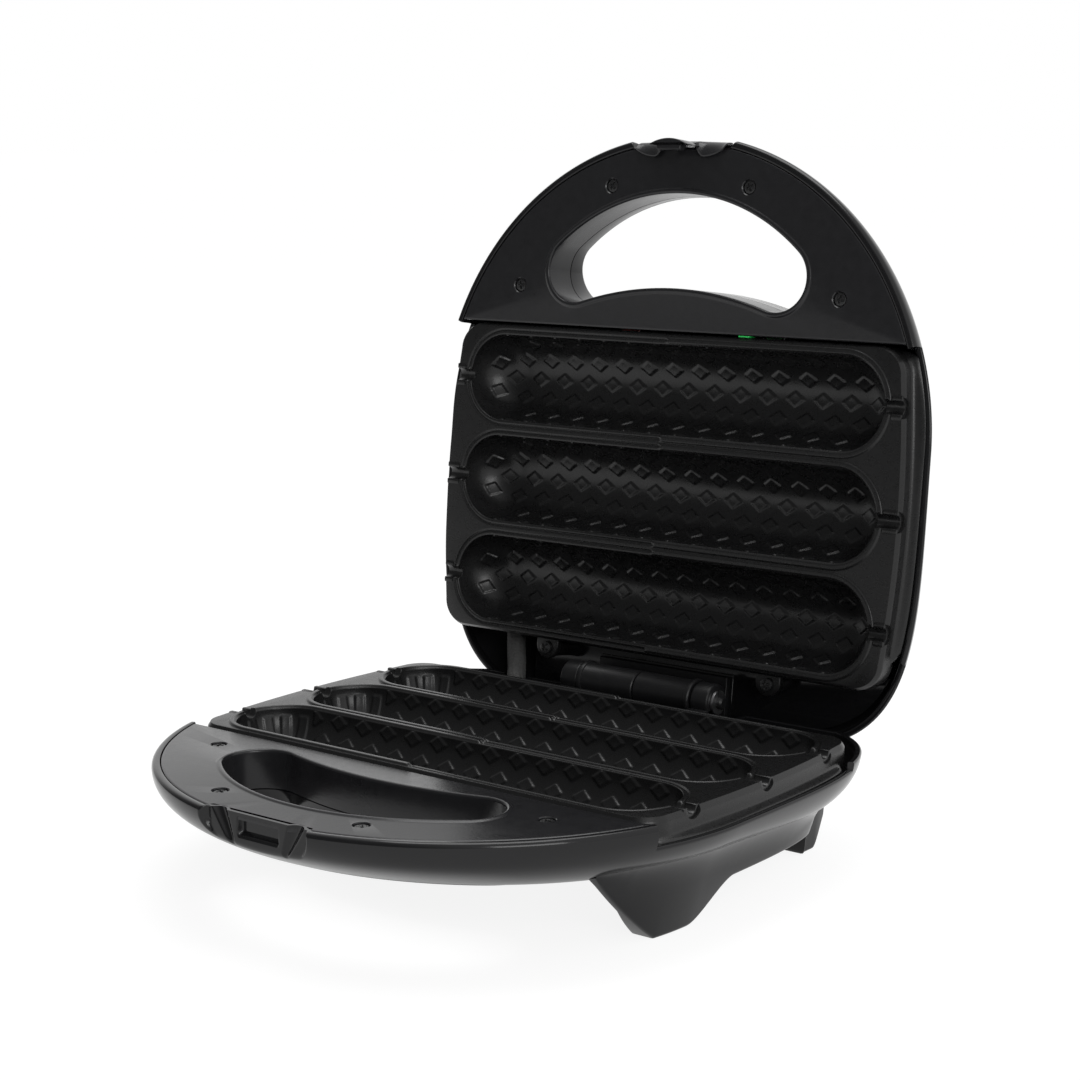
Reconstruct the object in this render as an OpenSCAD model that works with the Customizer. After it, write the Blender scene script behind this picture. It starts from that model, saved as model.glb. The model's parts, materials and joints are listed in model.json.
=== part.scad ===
// Corn dog maker with a hinged lid, shown open.
// +Z is up, the handles point to -Y and the hinge axis runs along X.
// The base and the lid are twins: each is drawn once, with its parting plane at z = 0,
// its body below that plane and the hinge axis at y = 0, and then put in its place.

/* [Body] */
// Radius of the round front of both shells
body_r = 115; // [112:0.5:120]
// Distance from the hinge axis forward to the centre of the round front
body_c = 101.6; // [100:0.1:104]
// Distance from that centre back to the rear edge
rear_r = 119.5; // [118:0.5:121]
// Squareness of the rear corners, where 2 is an ellipse
rear_power = 4.4; // [4:0.1:5]
// Wall thickness of the shells
wall = 2.4; // [2:0.1:2.8]
// Depth below the parting plane where the shells are widest
bulge_h = 2; // [1.5:0.1:2.5]
// Inset of the rim at the parting plane
rim_inset = 1.7; // [1.2:0.1:2]
// Width of the rounded shoulder
shoulder_w = 61; // [58:1:64]
// Height of the rounded shoulder
shoulder_h = 24.7; // [24.3:0.1:26]
// Squareness of the shoulder, where 2 is an ellipse
section_power = 2.1; // [2:0.05:2.3]
// Rise of the dome past the shoulder
dome_h = 1; // [0.8:0.1:2]
// Depth of the shells at the front edge, as a factor
front_depth = 0.86; // [0.85:0.01:0.92]
// Depth of the shells at the rear edge, as a factor
rear_depth = 1.4; // [1.36:0.01:1.46]
// Depth of the side cut-backs, where the plates show
side_cut_h = 7.5; // [6:0.5:8.5]
// Front end of the side cut-backs, which is also the seam of the handle frame
seam_s = 140.4; // [139.5:0.1:142]
// Rear end of the side cut-backs
side_cut_rear = 23.5; // [22:0.5:25]
// Depth of the base's rim behind its side cut-backs
base_rear_cut_h = 4.7; // [4:0.1:5.5]
// Depth of the lid's rim behind its side cut-backs
lid_rear_cut_h = 11; // [10:0.2:12]

/* [Legs] */
// Height of the base's parting plane above the table
base_plane_h = 47; // [45:0.5:52]
// Inset of the side rails where they leave the bowl
rail_top_inset = 13; // [11:0.5:15]
// Inset of the feet
foot_inset = 21; // [19.5:0.5:23]
// Thickness of the feet
foot_t = 10; // [8:0.5:11]
// Thickness of the rails
rail_t = 4; // [3:0.5:5]
// Height of the rails' lower edge above the table
rail_clear = 13; // [11:0.5:15]
// Front end of each rail
rail_front_s = 150; // [146:1:154]
// Rear end of the front feet
front_foot_rear = 104; // [101:1:107]
// Front end of the front feet
front_foot_front = 120; // [117:1:123]
// Rear end of the rear feet
rear_foot_rear = 5.5; // [4.5:0.5:7]
// Front end of the rear feet
rear_foot_front = 13; // [12:0.5:15]

/* [Handles] */
// Thickness of the handle frames
frame_t = 2.4; // [2:0.1:3]
// Width of the shell's rim in front of a handle frame
frame_margin = 3.9; // [3:0.1:5]
// Distance by which the centre of a frame's round edge lies in front of the shell's
frame_shift = 7; // [5:0.5:9]
// Width of the handle between the hand hole and the frame's edge
grip_w = 18.8; // [17:0.2:22]
// Radius of the two lobes of the hand hole
lobe_r = 13; // [11:0.5:14]
// Half the distance between the lobes' centres
lobe_x = 47.6; // [45:0.2:49]
// Distance from the seam to the middle of the hand hole's inner edge
hole_back = 17; // [16:0.2:19]
// Thickness of the hand hole's sleeve
sleeve_t = 1.8; // [1.5:0.1:2.2]
// Height of the raised lip round the hand hole
lip_h = 0.6; // [0.4:0.1:0.9]
// Width of that lip
lip_w = 2.2; // [1.5:0.1:3]
// Angle of the front handle screws from the middle of the handle
front_screw_angle = 20.1; // [16:0.1:24]
// Distance of the front handle screws from the frame's edge
front_screw_in = 10.4; // [9:0.2:12]
// Angle of the side handle screws from the middle of the handle
side_screw_angle = 57.8; // [55:0.1:60]
// Distance of the side handle screws from the frame's edge
side_screw_in = 15; // [12:0.2:16]
// Radius of the handle screws' heads
screw_head_r = 2.6; // [2.2:0.1:3]
// Radius of the screws' shanks
screw_r = 1.4; // [1.2:0.1:1.6]

/* [Cooking plates] */
// Distance from the shell's side to a plate's side
plate_margin = 7; // [6.6:0.1:7.6]
// Bulge of the plate's sides
plate_bulge = 4.5; // [3:0.5:6]
// Rear edge of a plate
plate_rear = 13.1; // [12.6:0.1:14]
// Corner radius of a plate
plate_corner = 11; // [9:0.5:13]
// Thickness of the plate's deck
deck_t = 2.4; // [2:0.1:2.6]
// Height of the deck above the parting plane
plate_rise = 0.5; // [0.2:0.1:0.7]
// Depth of the plate's edge flange
flange_h = 8; // [7:0.2:8.4]
// Thickness of the edge flange
flange_t = 2; // [1.6:0.1:2.4]
// Radius of a cooking cavity
cavity_r = 17.5; // [17:0.1:17.7]
// Wall under a cavity
cavity_t = 2.5; // [2.2:0.1:2.7]
// Length of a cavity
cavity_l = 196; // [186:1:198]
// Distance between cavities
cavity_pitch = 41.4; // [41:0.1:41.6]
// Radius of the stick channels
channel_r = 2.5; // [2:0.1:3]
// Mounting bosses of a plate: half the distance across
boss_x = 60; // [52:1:64]
// Radius of those bosses
boss_r = 4; // [3.6:0.1:4.4]
// Rear lugs of a plate: half the distance across
lug_x = 53.4; // [51:0.2:58]
// Distance from a plate's rear edge back to its lug screws
lug_out = 4.1; // [3.8:0.1:4.4]
// Depth of the lugs' upper face
lug_z = 5.7; // [5:0.1:6]

/* [Heating] */
// Radius of the sheathed heating element
element_r = 3.25; // [3:0.05:3.5]
// Length of its straight legs past the middle, at the terminal end
element_leg = 86; // [80:1:88]
// Thickness of the heat shields
shield_t = 0.8; // [0.6:0.1:1]
// Inset of the heat shields from the shells' outline
shield_inset = 31; // [30:0.5:34]
// Gap between a cavity's underside and its heat shield
shield_gap = 0.6; // [0.4:0.1:0.9]
// Radius of the thermostat
thermostat_r = 8; // [7:0.5:9]

/* [Hinge and latch] */
// Gap between the two parting planes when the lid is shut
parting_gap = 2; // [1.8:0.1:2.4]
// Angle by which the lid stands open
open_angle = 96.65; // [92:0.05:100]
// Radius of the hinge pin
pin_r = 2.5; // [2:0.1:3]
// Running clearance of the pins
pin_clear = 0.06; // [0.04:0.01:0.09]
// Radius of the hinge barrel
barrel_r = 7; // [6:0.1:7.4]
// Half the length of the hinge barrel
barrel_hl = 27; // [25:0.5:29]
// Thickness of the hinge ears
ear_t = 8; // [6:0.5:9]
// Half the width of the latch
latch_hw = 7.5; // [7.2:0.1:8.2]
// Reach of the latch past the lid's parting plane
latch_reach = 9.6; // [9.4:0.1:10.2]
// Radius of the latch pin
latch_pin_r = 1.2; // [1:0.1:1.4]
// Half the width of the recess for the latch
recess_hw = 22.5; // [21:0.5:24]
// Depth of that recess below the parting plane
recess_h = 11.5; // [11.2:0.1:12.5]
// Depth of that recess behind the shells' front edge
recess_in = 5.4; // [5:0.1:5.8]

/* [Lamps and leads] */
// Lamp windows: half the distance across
lamp_x = 34.7; // [30:0.5:36]
// Distance from the seam to the lamp windows
lamp_gap = 2.8; // [2.6:0.1:3.6]
// Radius of a lamp window
lens_r = 3.6; // [3:0.1:3.8]
// Outer radius of the lead sleeve between base and lid
lead_r = 4; // [3:0.1:4.4]
// Radius of the bore in the cord inlet bush
cord_r = 4; // [3.5:0.1:4.2]

/* [Hidden] */
$fn = 48;

// Clearance between pieces that are fitted together and do not move
fit = 0.25;
// Length that cutters reach past the faces they cut
past = 1;
// Steps round the shells' outline
steps = 64;
half_gap = parting_gap / 2;
// Front edge of the shells
front_s = body_c + body_r;

// Outline of the shells: a circle in front, a superellipse behind
function outline_r(a) = sin(a) >= 0 ? body_r
    : pow(pow(abs(cos(a)) / body_r, rear_power) + pow(abs(sin(a)) / rear_r, rear_power), -1 / rear_power);
// Depth factor at distance s from the hinge axis
function deepen(s) = front_depth + (rear_depth - front_depth) * (front_s - s) / (body_r + rear_r);
function outline_angles() = [for (i = [0:steps - 1]) 360 * i / steps];
// Plan points of the outline, moved in by an inset
function outline_points(inset) =
    [for (a = outline_angles()) let (r = outline_r(a) - inset) [r * cos(a), -body_c - r * sin(a)]];
// Half the width of the inset outline at distance s from the hinge axis
function outline_x(s, inset) = s >= body_c
    ? sqrt(max(0, pow(body_r - inset, 2) - pow(s - body_c, 2)))
    : let (back = pow((body_c - s) / (rear_r - inset / 2), rear_power))
        (body_r - inset) * pow(max(0, 1 - back), 1 / rear_power);

// Rings of the shells' section as [inset, share of the way to the middle, depth, lift by the wall]
function round_in(a) = 1 - pow(cos(a), 2 / section_power);
function round_down(a) = pow(sin(a), 2 / section_power);
function shoulder(t, n) = [for (i = [0:n]) let (a = 90 * i / n)
    [t + (shoulder_w - t) * round_in(a), 0, -bulge_h - shoulder_h * round_down(a), t * round_down(a)]];
function dome_drop(u) = dome_h * (1 - pow(1 - u, 2));
function dome(t, n) = [for (i = [1:n - 1]) let (u = i / n)
    [shoulder_w, u, -bulge_h - shoulder_h - dome_drop(u), t]];
rim_rings = [[rim_inset, 0, 0, 0], [rim_inset * 0.3, 0, -bulge_h * 0.4, 0]];
outer_rings = concat(rim_rings, shoulder(0, 8), dome(0, 3));
inner_rings = concat([[wall, 0, 0, past]], shoulder(wall, 6), dome(wall, 2));
function ring_points(ring) = [for (a = outline_angles())
    let (r = (outline_r(a) - ring[0]) * (1 - ring[1]), s = body_c + r * sin(a))
    [r * cos(a), -s, ring[2] * deepen(s) + ring[3]]];
function apex(t) = [0, -body_c, t - (bulge_h + shoulder_h + dome_h) * deepen(body_c)];
// Depth of the shells' outer face at a plan radius from the middle, in direction a
function shoulder_drop(inset) =
    shoulder_h * pow(1 - pow(1 - max(0, inset) / shoulder_w, section_power), 1 / section_power);
function outer_depth(a, r) = let (inset = outline_r(a) - r)
    deepen(body_c + r * sin(a)) * (bulge_h + (inset < shoulder_w ? shoulder_drop(inset)
        : shoulder_h + dome_drop((inset - shoulder_w) / (outline_r(a) - shoulder_w))));

// A closed bowl through the rings, flat on top, ending in one point below
module bowl(rings, tip) {
    n = len(rings);
    points = concat([for (ring = rings) each ring_points(ring)], [tip]);
    cap = [[for (i = [0:steps - 1]) i]];
    sides = [for (k = [0:n - 2]) for (i = [0:steps - 1])
        let (j = (i + 1) % steps, a = k * steps, b = (k + 1) * steps)
        each [[a + j, a + i, b + i], [a + j, b + i, b + j]]];
    fan = [for (i = [0:steps - 1]) [(n - 1) * steps + (i + 1) % steps, (n - 1) * steps + i, n * steps]];
    polyhedron(points, concat(cap, sides, fan));
}
module outer_bowl() bowl(outer_rings, apex(0));
module inner_bowl() bowl(inner_rings, apex(wall));

// Places: the hinge axis, the base and the lid
function opened_y(p) = cos(open_angle) * p.y + sin(open_angle) * (half_gap - p.z);
lid_rear = max([for (ring = outer_rings) each [for (p = ring_points(ring)) opened_y(p)]]);
lamp_s = seam_s + lamp_gap;
lamp_angle = atan2(lamp_s - body_c, lamp_x);
lens_z = -outer_depth(lamp_angle, norm([lamp_x, lamp_s - body_c]));
lens_proud = 0.8;
lens_reach = opened_y([0, -lamp_s - lens_r, lens_z - lens_proud]);
front_reach = body_c + sqrt(pow(body_r, 2) - pow(recess_hw, 2));
hinge_y = (front_reach - max(lid_rear, lens_reach)) / 2;
hinge_z = base_plane_h + half_gap;
module at_hinge() translate([0, hinge_y, hinge_z]) children();
module at_base() at_hinge() translate([0, 0, -half_gap]) children();
module at_lid() at_hinge() rotate([-open_angle, 0, 0]) translate([0, 0, half_gap]) mirror([0, 0, 1])
    children();
module both_sides() {
    children();
    mirror([1, 0, 0]) children();
}
// A rod along X from x0 to x1
module rod_x(r, x0, x1) translate([x0, 0, 0]) rotate([0, 90, 0]) cylinder(r = r, h = x1 - x0);
// A block given by its two corners
module block(low, high) translate(low) cube(high - low);

// Hand hole: an outer arc, two lobes and a low hump, all tangent
frame_r = body_r - frame_shift - frame_margin;
frame_c = body_c + frame_shift;
hole_mid_s = seam_s + hole_back;
hole_r = frame_r - grip_w;
lobe_s = frame_c + sqrt(pow(hole_r - lobe_r, 2) - pow(lobe_x, 2));
hump_c = (pow(lobe_x, 2) + pow(lobe_s, 2) - pow(hole_mid_s + lobe_r, 2))
    / (2 * (lobe_s - hole_mid_s - lobe_r));
hump_r = hole_mid_s - hump_c;
lobe_turn = atan2(lobe_s - frame_c, lobe_x);
hump_turn = atan2(lobe_s - hump_c, lobe_x);
function arc(x, s, r, a0, a1, n) = [for (i = [1:n]) let (a = a0 + (a1 - a0) * i / n)
    [x + r * cos(a), -s - r * sin(a)]];
function hole_points(grow) = concat(
    arc(0, frame_c, hole_r + grow, lobe_turn, 180 - lobe_turn, 20),
    arc(-lobe_x, lobe_s, lobe_r + grow, 180 - lobe_turn, 360 - hump_turn, 10),
    arc(0, hump_c, hump_r - grow, 180 - hump_turn, hump_turn, 12),
    arc(lobe_x, lobe_s, lobe_r + grow, 180 + hump_turn, 360 + lobe_turn, 10));

// Screws with a cross recess, head down to z = 0, shank along -z
module screw(r, head_r, head_h, length) {
    slot_w = 0.28 * head_r;
    slot_l = 1.2 * head_r;
    difference() {
        union() {
            cylinder(r = head_r, h = head_h);
            translate([0, 0, -length]) cylinder(r = r, h = length);
        }
        for (a = [0, 90]) rotate(a) translate([-slot_l / 2, -slot_w / 2, head_h / 2])
            cube([slot_l, slot_w, head_h]);
    }
}

// Handle frame: a round-edged plate with the sleeve of the hand hole
function on_frame(side, a, in) = [side * (frame_r - in) * sin(a), frame_c + (frame_r - in) * cos(a)];
handle_screws = [for (side = [-1, 1]) each [
    on_frame(side, front_screw_angle, front_screw_in), on_frame(side, side_screw_angle, side_screw_in)]];
screw_head_h = 1.5;
screw_length = 9;
sleeve_h = 14;
module frame_plan(grow) difference() {
    translate([0, -frame_c]) circle(r = frame_r + grow, $fn = 96);
    translate([-body_r, -seam_s - fit]) square([2 * body_r, 2 * body_r]);
}
module handle_frame() {
    difference() {
        union() {
            translate([0, 0, -frame_t]) linear_extrude(frame_t) frame_plan(0);
            linear_extrude(lip_h) polygon(hole_points(lip_w));
            translate([0, 0, -sleeve_h]) linear_extrude(sleeve_h) polygon(hole_points(sleeve_t));
        }
        translate([0, 0, -sleeve_h - past]) linear_extrude(sleeve_h + lip_h + 2 * past)
            polygon(hole_points(0));
        for (p = handle_screws) translate([p.x, -p.y, -frame_t - past]) {
            cylinder(r = screw_r + fit, h = frame_t + 2 * past);
            translate([0, 0, past + frame_t - screw_head_h])
                cylinder(r = screw_head_r + fit, h = screw_head_h + past);
        }
        recess_cut(fit);
    }
}
module handle_screw_set() for (p = handle_screws) translate([p.x, -p.y, -screw_head_h])
    screw(screw_r, screw_head_r, screw_head_h - fit, screw_length);

// Recess in both rims for the latch: a U seen from the front
recess_corner = 5;
recess_s = front_s - recess_in;
module recess_cut(grow) difference() {
    block([-recess_hw - grow, -front_s - past, -recess_h], [recess_hw + grow, -recess_s + grow, 2 * past]);
    both_sides() translate([recess_hw + grow - recess_corner, 0, -recess_h + recess_corner])
        rotate([90, 0, 0]) linear_extrude(front_s + body_r) difference() {
            translate([0, -recess_corner - past]) square(recess_corner + past);
            circle(r = recess_corner);
        }
}

// Cooking plate
seam_gap = 0.5;
plate_hw = body_r - plate_margin;
plate_front = seam_s - seam_gap;
plate_mid = (plate_front + plate_rear) / 2;
plate_half = (plate_front - plate_rear) / 2;
cavity_mid = plate_mid;
cavities = [for (k = [-1, 0, 1]) cavity_mid + k * cavity_pitch];
cavity_hx = cavity_l / 2 - cavity_r;
tub_r = cavity_r + cavity_t;
tub_floor = plate_rise - tub_r;
function plate_x(s) = plate_hw - plate_bulge * pow((s - plate_mid) / plate_half, 2);
function plate_corner_arc(side, front, inset, n) =
    let (s = front ? plate_front - plate_corner : plate_rear + plate_corner, x = plate_x(s) - plate_corner)
    [for (i = [0:n]) let (a = 90 * i / n, r = plate_corner - inset)
        [side * (x + r * cos(a)), -s + (front ? -1 : 1) * r * sin(a)]];
function plate_side(side, inset, n) = [for (i = [1:n - 1])
    let (s = plate_rear + plate_corner + 2 * (plate_half - plate_corner) * i / n)
    [side * (plate_x(s) - inset), -s]];
function reversed(v) = [for (i = [len(v) - 1:-1:0]) v[i]];
function plate_points(inset) = concat(
    plate_side(1, inset, 6), plate_corner_arc(1, true, inset, 6),
    reversed(plate_corner_arc(-1, true, inset, 6)), reversed(plate_side(-1, inset, 6)),
    plate_corner_arc(-1, false, inset, 6), reversed(plate_corner_arc(1, false, inset, 6)));
module capsule(r) {
    rod_x(r, -cavity_hx, cavity_hx);
    for (x = [-cavity_hx, cavity_hx]) translate([x, 0, 0]) sphere(r = r);
}
boss_in = boss_r + flange_t;
plate_bosses = [for (x = [-boss_x, boss_x]) for (s = [plate_front - boss_in, plate_rear + boss_in]) [x, s]];
plate_screw_l = 8;
lug_s = plate_rear - lug_out;
lug_t = 2.5;
lug_hw = 5.5;
lug_tip = 4.5;
shield_top = tub_floor - shield_gap;
module cooking_plate() difference() {
    union() {
        translate([0, 0, plate_rise - deck_t]) linear_extrude(deck_t) polygon(plate_points(0));
        translate([0, 0, plate_rise - flange_h]) linear_extrude(flange_h) difference() {
            polygon(plate_points(0));
            polygon(plate_points(flange_t));
        }
        for (s = cavities) translate([0, -s, plate_rise]) difference() {
            union() {
                capsule(tub_r);
                rod_x(channel_r + flange_t, -plate_x(s), plate_x(s));
            }
            block([-2 * plate_hw, -2 * tub_r, 0], [2 * plate_hw, 2 * tub_r, 2 * tub_r]);
        }
        for (p = plate_bosses) translate([p.x, -p.y, shield_top]) cylinder(r = boss_r, h = -shield_top);
        both_sides() block([lug_x - lug_hw, -plate_rear - flange_t, -lug_z - lug_t],
            [lug_x + lug_hw, -lug_s + lug_tip, -lug_z]);
    }
    for (s = cavities) translate([0, -s, plate_rise]) {
        capsule(cavity_r);
        rod_x(channel_r, -plate_hw - past, plate_hw + past);
    }
    for (p = plate_bosses) translate([p.x, -p.y, shield_top - past])
        cylinder(r = screw_r, h = plate_screw_l + past);
    both_sides() translate([lug_x, -lug_s, -lug_z - lug_t - past])
        cylinder(r = screw_r + fit, h = lug_t + 2 * past);
}
module plate_screw_set() for (p = plate_bosses) translate([p.x, -p.y, shield_top - shield_t])
    mirror([0, 0, 1]) screw(screw_r, screw_head_r, screw_head_h, plate_screw_l - past);
module lug_screw_set() both_sides() translate([lug_x, -lug_s, -lug_z])
    screw(screw_r, screw_head_r, screw_head_h, screw_length);

// Heating element in the two valleys between the cavities
valleys = [cavity_mid - cavity_pitch / 2, cavity_mid + cavity_pitch / 2];
element_z = plate_rise - sqrt(pow(tub_r + element_r + fit, 2) - pow(cavity_pitch / 2, 2));
terminal_r = 1.2;
terminal_l = 11;
module heating_element() translate([0, 0, element_z]) {
    for (s = valleys) translate([0, -s, 0]) {
        rod_x(element_r, -cavity_hx, element_leg);
        rod_x(terminal_r, element_leg - past, element_leg + terminal_l);
    }
    translate([-cavity_hx, -cavity_mid, 0]) rotate(90) rotate_extrude(angle = 180)
        translate([cavity_pitch / 2, 0]) circle(r = element_r);
}
saddle_x = 45;
saddle_l = 12;
saddle_w = 7;
module element_saddles() for (x = [-saddle_x, saddle_x]) for (s = valleys) difference() {
    block([x - saddle_l / 2, -s - saddle_w / 2, shield_top],
        [x + saddle_l / 2, -s + saddle_w / 2, element_z - past]);
    translate([0, -s, element_z]) rod_x(element_r, x - saddle_l, x + saddle_l);
}
module heat_shield() translate([0, 0, shield_top - shield_t]) linear_extrude(shield_t) difference() {
    intersection() {
        polygon(outline_points(shield_inset));
        translate([-body_r, -plate_front]) square([2 * body_r, plate_front - plate_rear]);
    }
    for (p = plate_bosses) translate([p.x, -p.y]) circle(r = screw_r + fit);
}

// Parts of a shell that stand inside it, trimmed by its outer face
rim_h = 3;
collar_t = 2;
collar_lap = 6;
boss_wall = 2.6;
recess_wall = 3;
recess_backing = 9;
module post(x, s, r, z) translate([x, -s, -2 * body_r]) cylinder(r = r, h = 2 * body_r + z);
module drill(x, s, r, z0, z1) translate([x, -s, z0]) cylinder(r = r, h = z1 - z0);
module shell_inside() {
    translate([0, 0, -rim_h]) linear_extrude(rim_h + 2 * past) difference() {
        translate([-2 * body_r, -seam_s - 2 * body_r]) square([4 * body_r, 2 * body_r]);
        frame_plan(fit);
    }
    translate([0, 0, -2 * body_r]) linear_extrude(2 * body_r - sleeve_h + collar_lap) difference() {
        polygon(hole_points(sleeve_t + fit + collar_t));
        polygon(hole_points(sleeve_t + fit));
    }
    for (p = handle_screws) post(p.x, p.y, screw_r + boss_wall, -frame_t);
    block([-recess_hw - recess_wall, -front_s, -recess_h - recess_wall],
        [recess_hw + recess_wall, -recess_s + recess_backing, -frame_t]);
    both_sides() post(lug_x, lug_s, screw_r + boss_wall, -lug_z - lug_t);
}
// Holes and cuts that both shells have
side_cut_in = 14;
rear_cut_in = 6;
module rear_cut(depth) difference() {
    block([-2 * body_r, -side_cut_rear, -depth], [2 * body_r, body_r, 2 * past]);
    translate([0, 0, -2 * depth]) linear_extrude(4 * depth) polygon(outline_points(rear_cut_in));
}
module shell_cuts() {
    both_sides() block([plate_hw - side_cut_in, -seam_s, -side_cut_h],
        [2 * body_r, -side_cut_rear, 2 * past]);
    translate([0, 0, -2 * body_r]) linear_extrude(2 * body_r - sleeve_h) polygon(hole_points(0));
    translate([0, 0, -sleeve_h - fit]) linear_extrude(sleeve_h + 2 * past)
        polygon(hole_points(sleeve_t + fit));
    for (p = handle_screws) drill(p.x, p.y, screw_r, -screw_head_h - screw_length - past, past);
    both_sides() drill(lug_x, lug_s, screw_r, -lug_z - screw_length - past, -lug_z);
    recess_cut(0);
}
// A shell: child 0 stands inside it, child 1 is cut away, child 2 is added outside
module shell() difference() {
    union() {
        outer_bowl();
        if ($children > 2) children(2);
    }
    difference() {
        inner_bowl();
        shell_inside();
        children(0);
    }
    shell_cuts();
    children(1);
}

// Side rails and legs: a leaning wall whose lower edge forms the feet
leg_slope = 5;
leg_knee = 23;
rail_bend_s = 12;
rear_rise = 14;
rail_embed = 5;
rear_slope = 7;
rail_rear_s = rear_foot_rear - leg_slope;
rail_edge_s = rear_foot_front + leg_slope;
function ease(u) = let (v = min(1, max(0, u))) v * v * (3 - 2 * v);
// Height of the bowl's outer face where the rail leaves it
function rail_out(s, inset) = outline_x(max(s, rail_bend_s), inset);
function rail_root(s) = let (x = rail_out(s, rail_top_inset))
    -outer_depth(atan2(s - body_c, x), norm([x, s - body_c]));
// Height of the rail's lower edge above the table
function rail_lift(s) =
    s > front_foot_front ? (rail_root(rail_front_s) + base_plane_h)
        * (s - front_foot_front) / (rail_front_s - front_foot_front)
    : s > front_foot_rear ? 0
    : s > front_foot_rear - leg_knee ? rail_clear * ease((front_foot_rear - s) / leg_knee)
    : s > rail_edge_s ? rail_clear
    : s > rear_foot_front ? rail_clear * ease((s - rear_foot_front) / leg_slope)
    : s > rear_foot_rear ? 0
    : rear_rise * ease((rear_foot_rear - s) / rear_slope);
function rail_thick(s) = foot_t + (rail_t - foot_t) * min(1, rail_lift(s) / rail_clear);
function rail_x(s, z) = let (u = (z - rail_root(s)) / (-base_plane_h - rail_root(s)))
    rail_out(s, rail_top_inset) * (1 - u) + rail_out(s, foot_inset) * u;
// Stations along the rail, from a to b in n steps
function span(a, b, n) = [for (i = [0:n]) a + (b - a) * i / n];
rail_stations = concat(
    span(rail_front_s, front_foot_front, 6), span(front_foot_rear, front_foot_rear - leg_knee, 6),
    span(front_foot_rear - leg_knee - 10, rail_edge_s + 10, 2), span(rail_edge_s, rear_foot_front, 4),
    span(rear_foot_rear, rail_rear_s, 3));
module side_rail() {
    n = len(rail_stations);
    points = [for (s = rail_stations)
        let (z = rail_lift(s) - base_plane_h, t = rail_root(s) + rail_embed, w = rail_thick(s),
            low = rail_x(s, z), high = rail_x(s, t))
        each [[high, -s, t], [low, -s, z], [low - w, -s, z], [high - w, -s, t]]];
    walls = [for (i = [0:n - 2]) for (k = [0:3]) let (a = 4 * i, b = 4 * i + 4, l = (k + 1) % 4)
        each [[a + k, b + k, b + l], [a + k, b + l, a + l]]];
    end = 4 * n - 1;
    polyhedron(points, concat(walls, [[0, 1, 2, 3]], [[end, end - 1, end - 2, end - 3]]));
}
// The rails are moulded with the bowl: they end at its outer face
module rail_pair() difference() {
    both_sides() side_rail();
    outer_bowl();
}

// Rear of the base: a bulkhead in front of the hinge and a low shelf that the lid swings over
rear_edge = rear_r - body_c;
stop_gap = 0.35;
swing_gap = 1;
function opened_z(p) = -sin(open_angle) * p.y + cos(open_angle) * (half_gap - p.z);
lid_low = min([for (ring = outer_rings) each [for (p = ring_points(ring)) opened_z(p)]]);
shelf_z = lid_low + half_gap - swing_gap;
stop_s = stop_gap - cos(open_angle) * rear_edge - sin(open_angle) * (half_gap + lid_rear_cut_h);
bulkhead_t = 2;
bulkhead_top = -base_rear_cut_h;
bay_margin = 7;
plate_gap = 0.6;
hinge_bay_hw = barrel_hl + ear_t + bay_margin;
hinge_bay_s = plate_rear - plate_gap - bulkhead_t;
module behind_bulkhead(grow) {
    bay = hinge_bay_hw + grow;
    translate([-2 * body_r, -stop_s - grow]) square([4 * body_r, 2 * body_r]);
    translate([-bay, -hinge_bay_s - grow]) square([2 * bay, 2 * body_r]);
}
bracket_screw_x = 18;
bracket_screw_z = -12.5;
bracket_boss_l = 6;
bracket_screw_l = 7.5;
bracket_hole_l = 5.5;
module bracket_screw_places() for (x = [-bracket_screw_x, bracket_screw_x])
    translate([x, -hinge_bay_s, bracket_screw_z]) rotate([-90, 0, 0]) children();
module rear_inside() {
    translate([0, 0, shelf_z - wall]) linear_extrude(wall) behind_bulkhead(bulkhead_t);
    block([-terminal_hw - past, -terminal_s - terminal_w / 2 - past, -2 * body_r],
        [terminal_hw + past, -terminal_s + terminal_w / 2 + past, terminal_z]);
    inlet_collar();
}
// The upright wall stands on the shelf and ends at the bowl's inner face
module rear_wall() difference() {
    intersection() {
        inner_bowl();
        union() {
            translate([0, 0, shelf_z]) linear_extrude(bulkhead_top - shelf_z) behind_bulkhead(bulkhead_t);
            bracket_screw_places() translate([0, 0, -bracket_boss_l])
                cylinder(r = screw_r + boss_wall, h = bracket_boss_l);
        }
    }
    rear_cuts();
}
module rear_cuts() {
    translate([0, 0, shelf_z]) linear_extrude(2 * body_r) behind_bulkhead(0);
    rear_cut(base_rear_cut_h);
    block([lead_notch_x - notch_hw, -stop_s - bulkhead_t - past, -lead_notch_h],
        [lead_notch_x + notch_hw, -stop_s + past, past]);
    bracket_screw_places() translate([0, 0, -bracket_hole_l])
        cylinder(r = screw_r, h = bracket_hole_l + past);
    block([-catch_hw, -recess_s - past, -frame_t - catch_h], [catch_hw, -recess_s + catch_depth, -frame_t]);
    inlet_bore();
}

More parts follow.
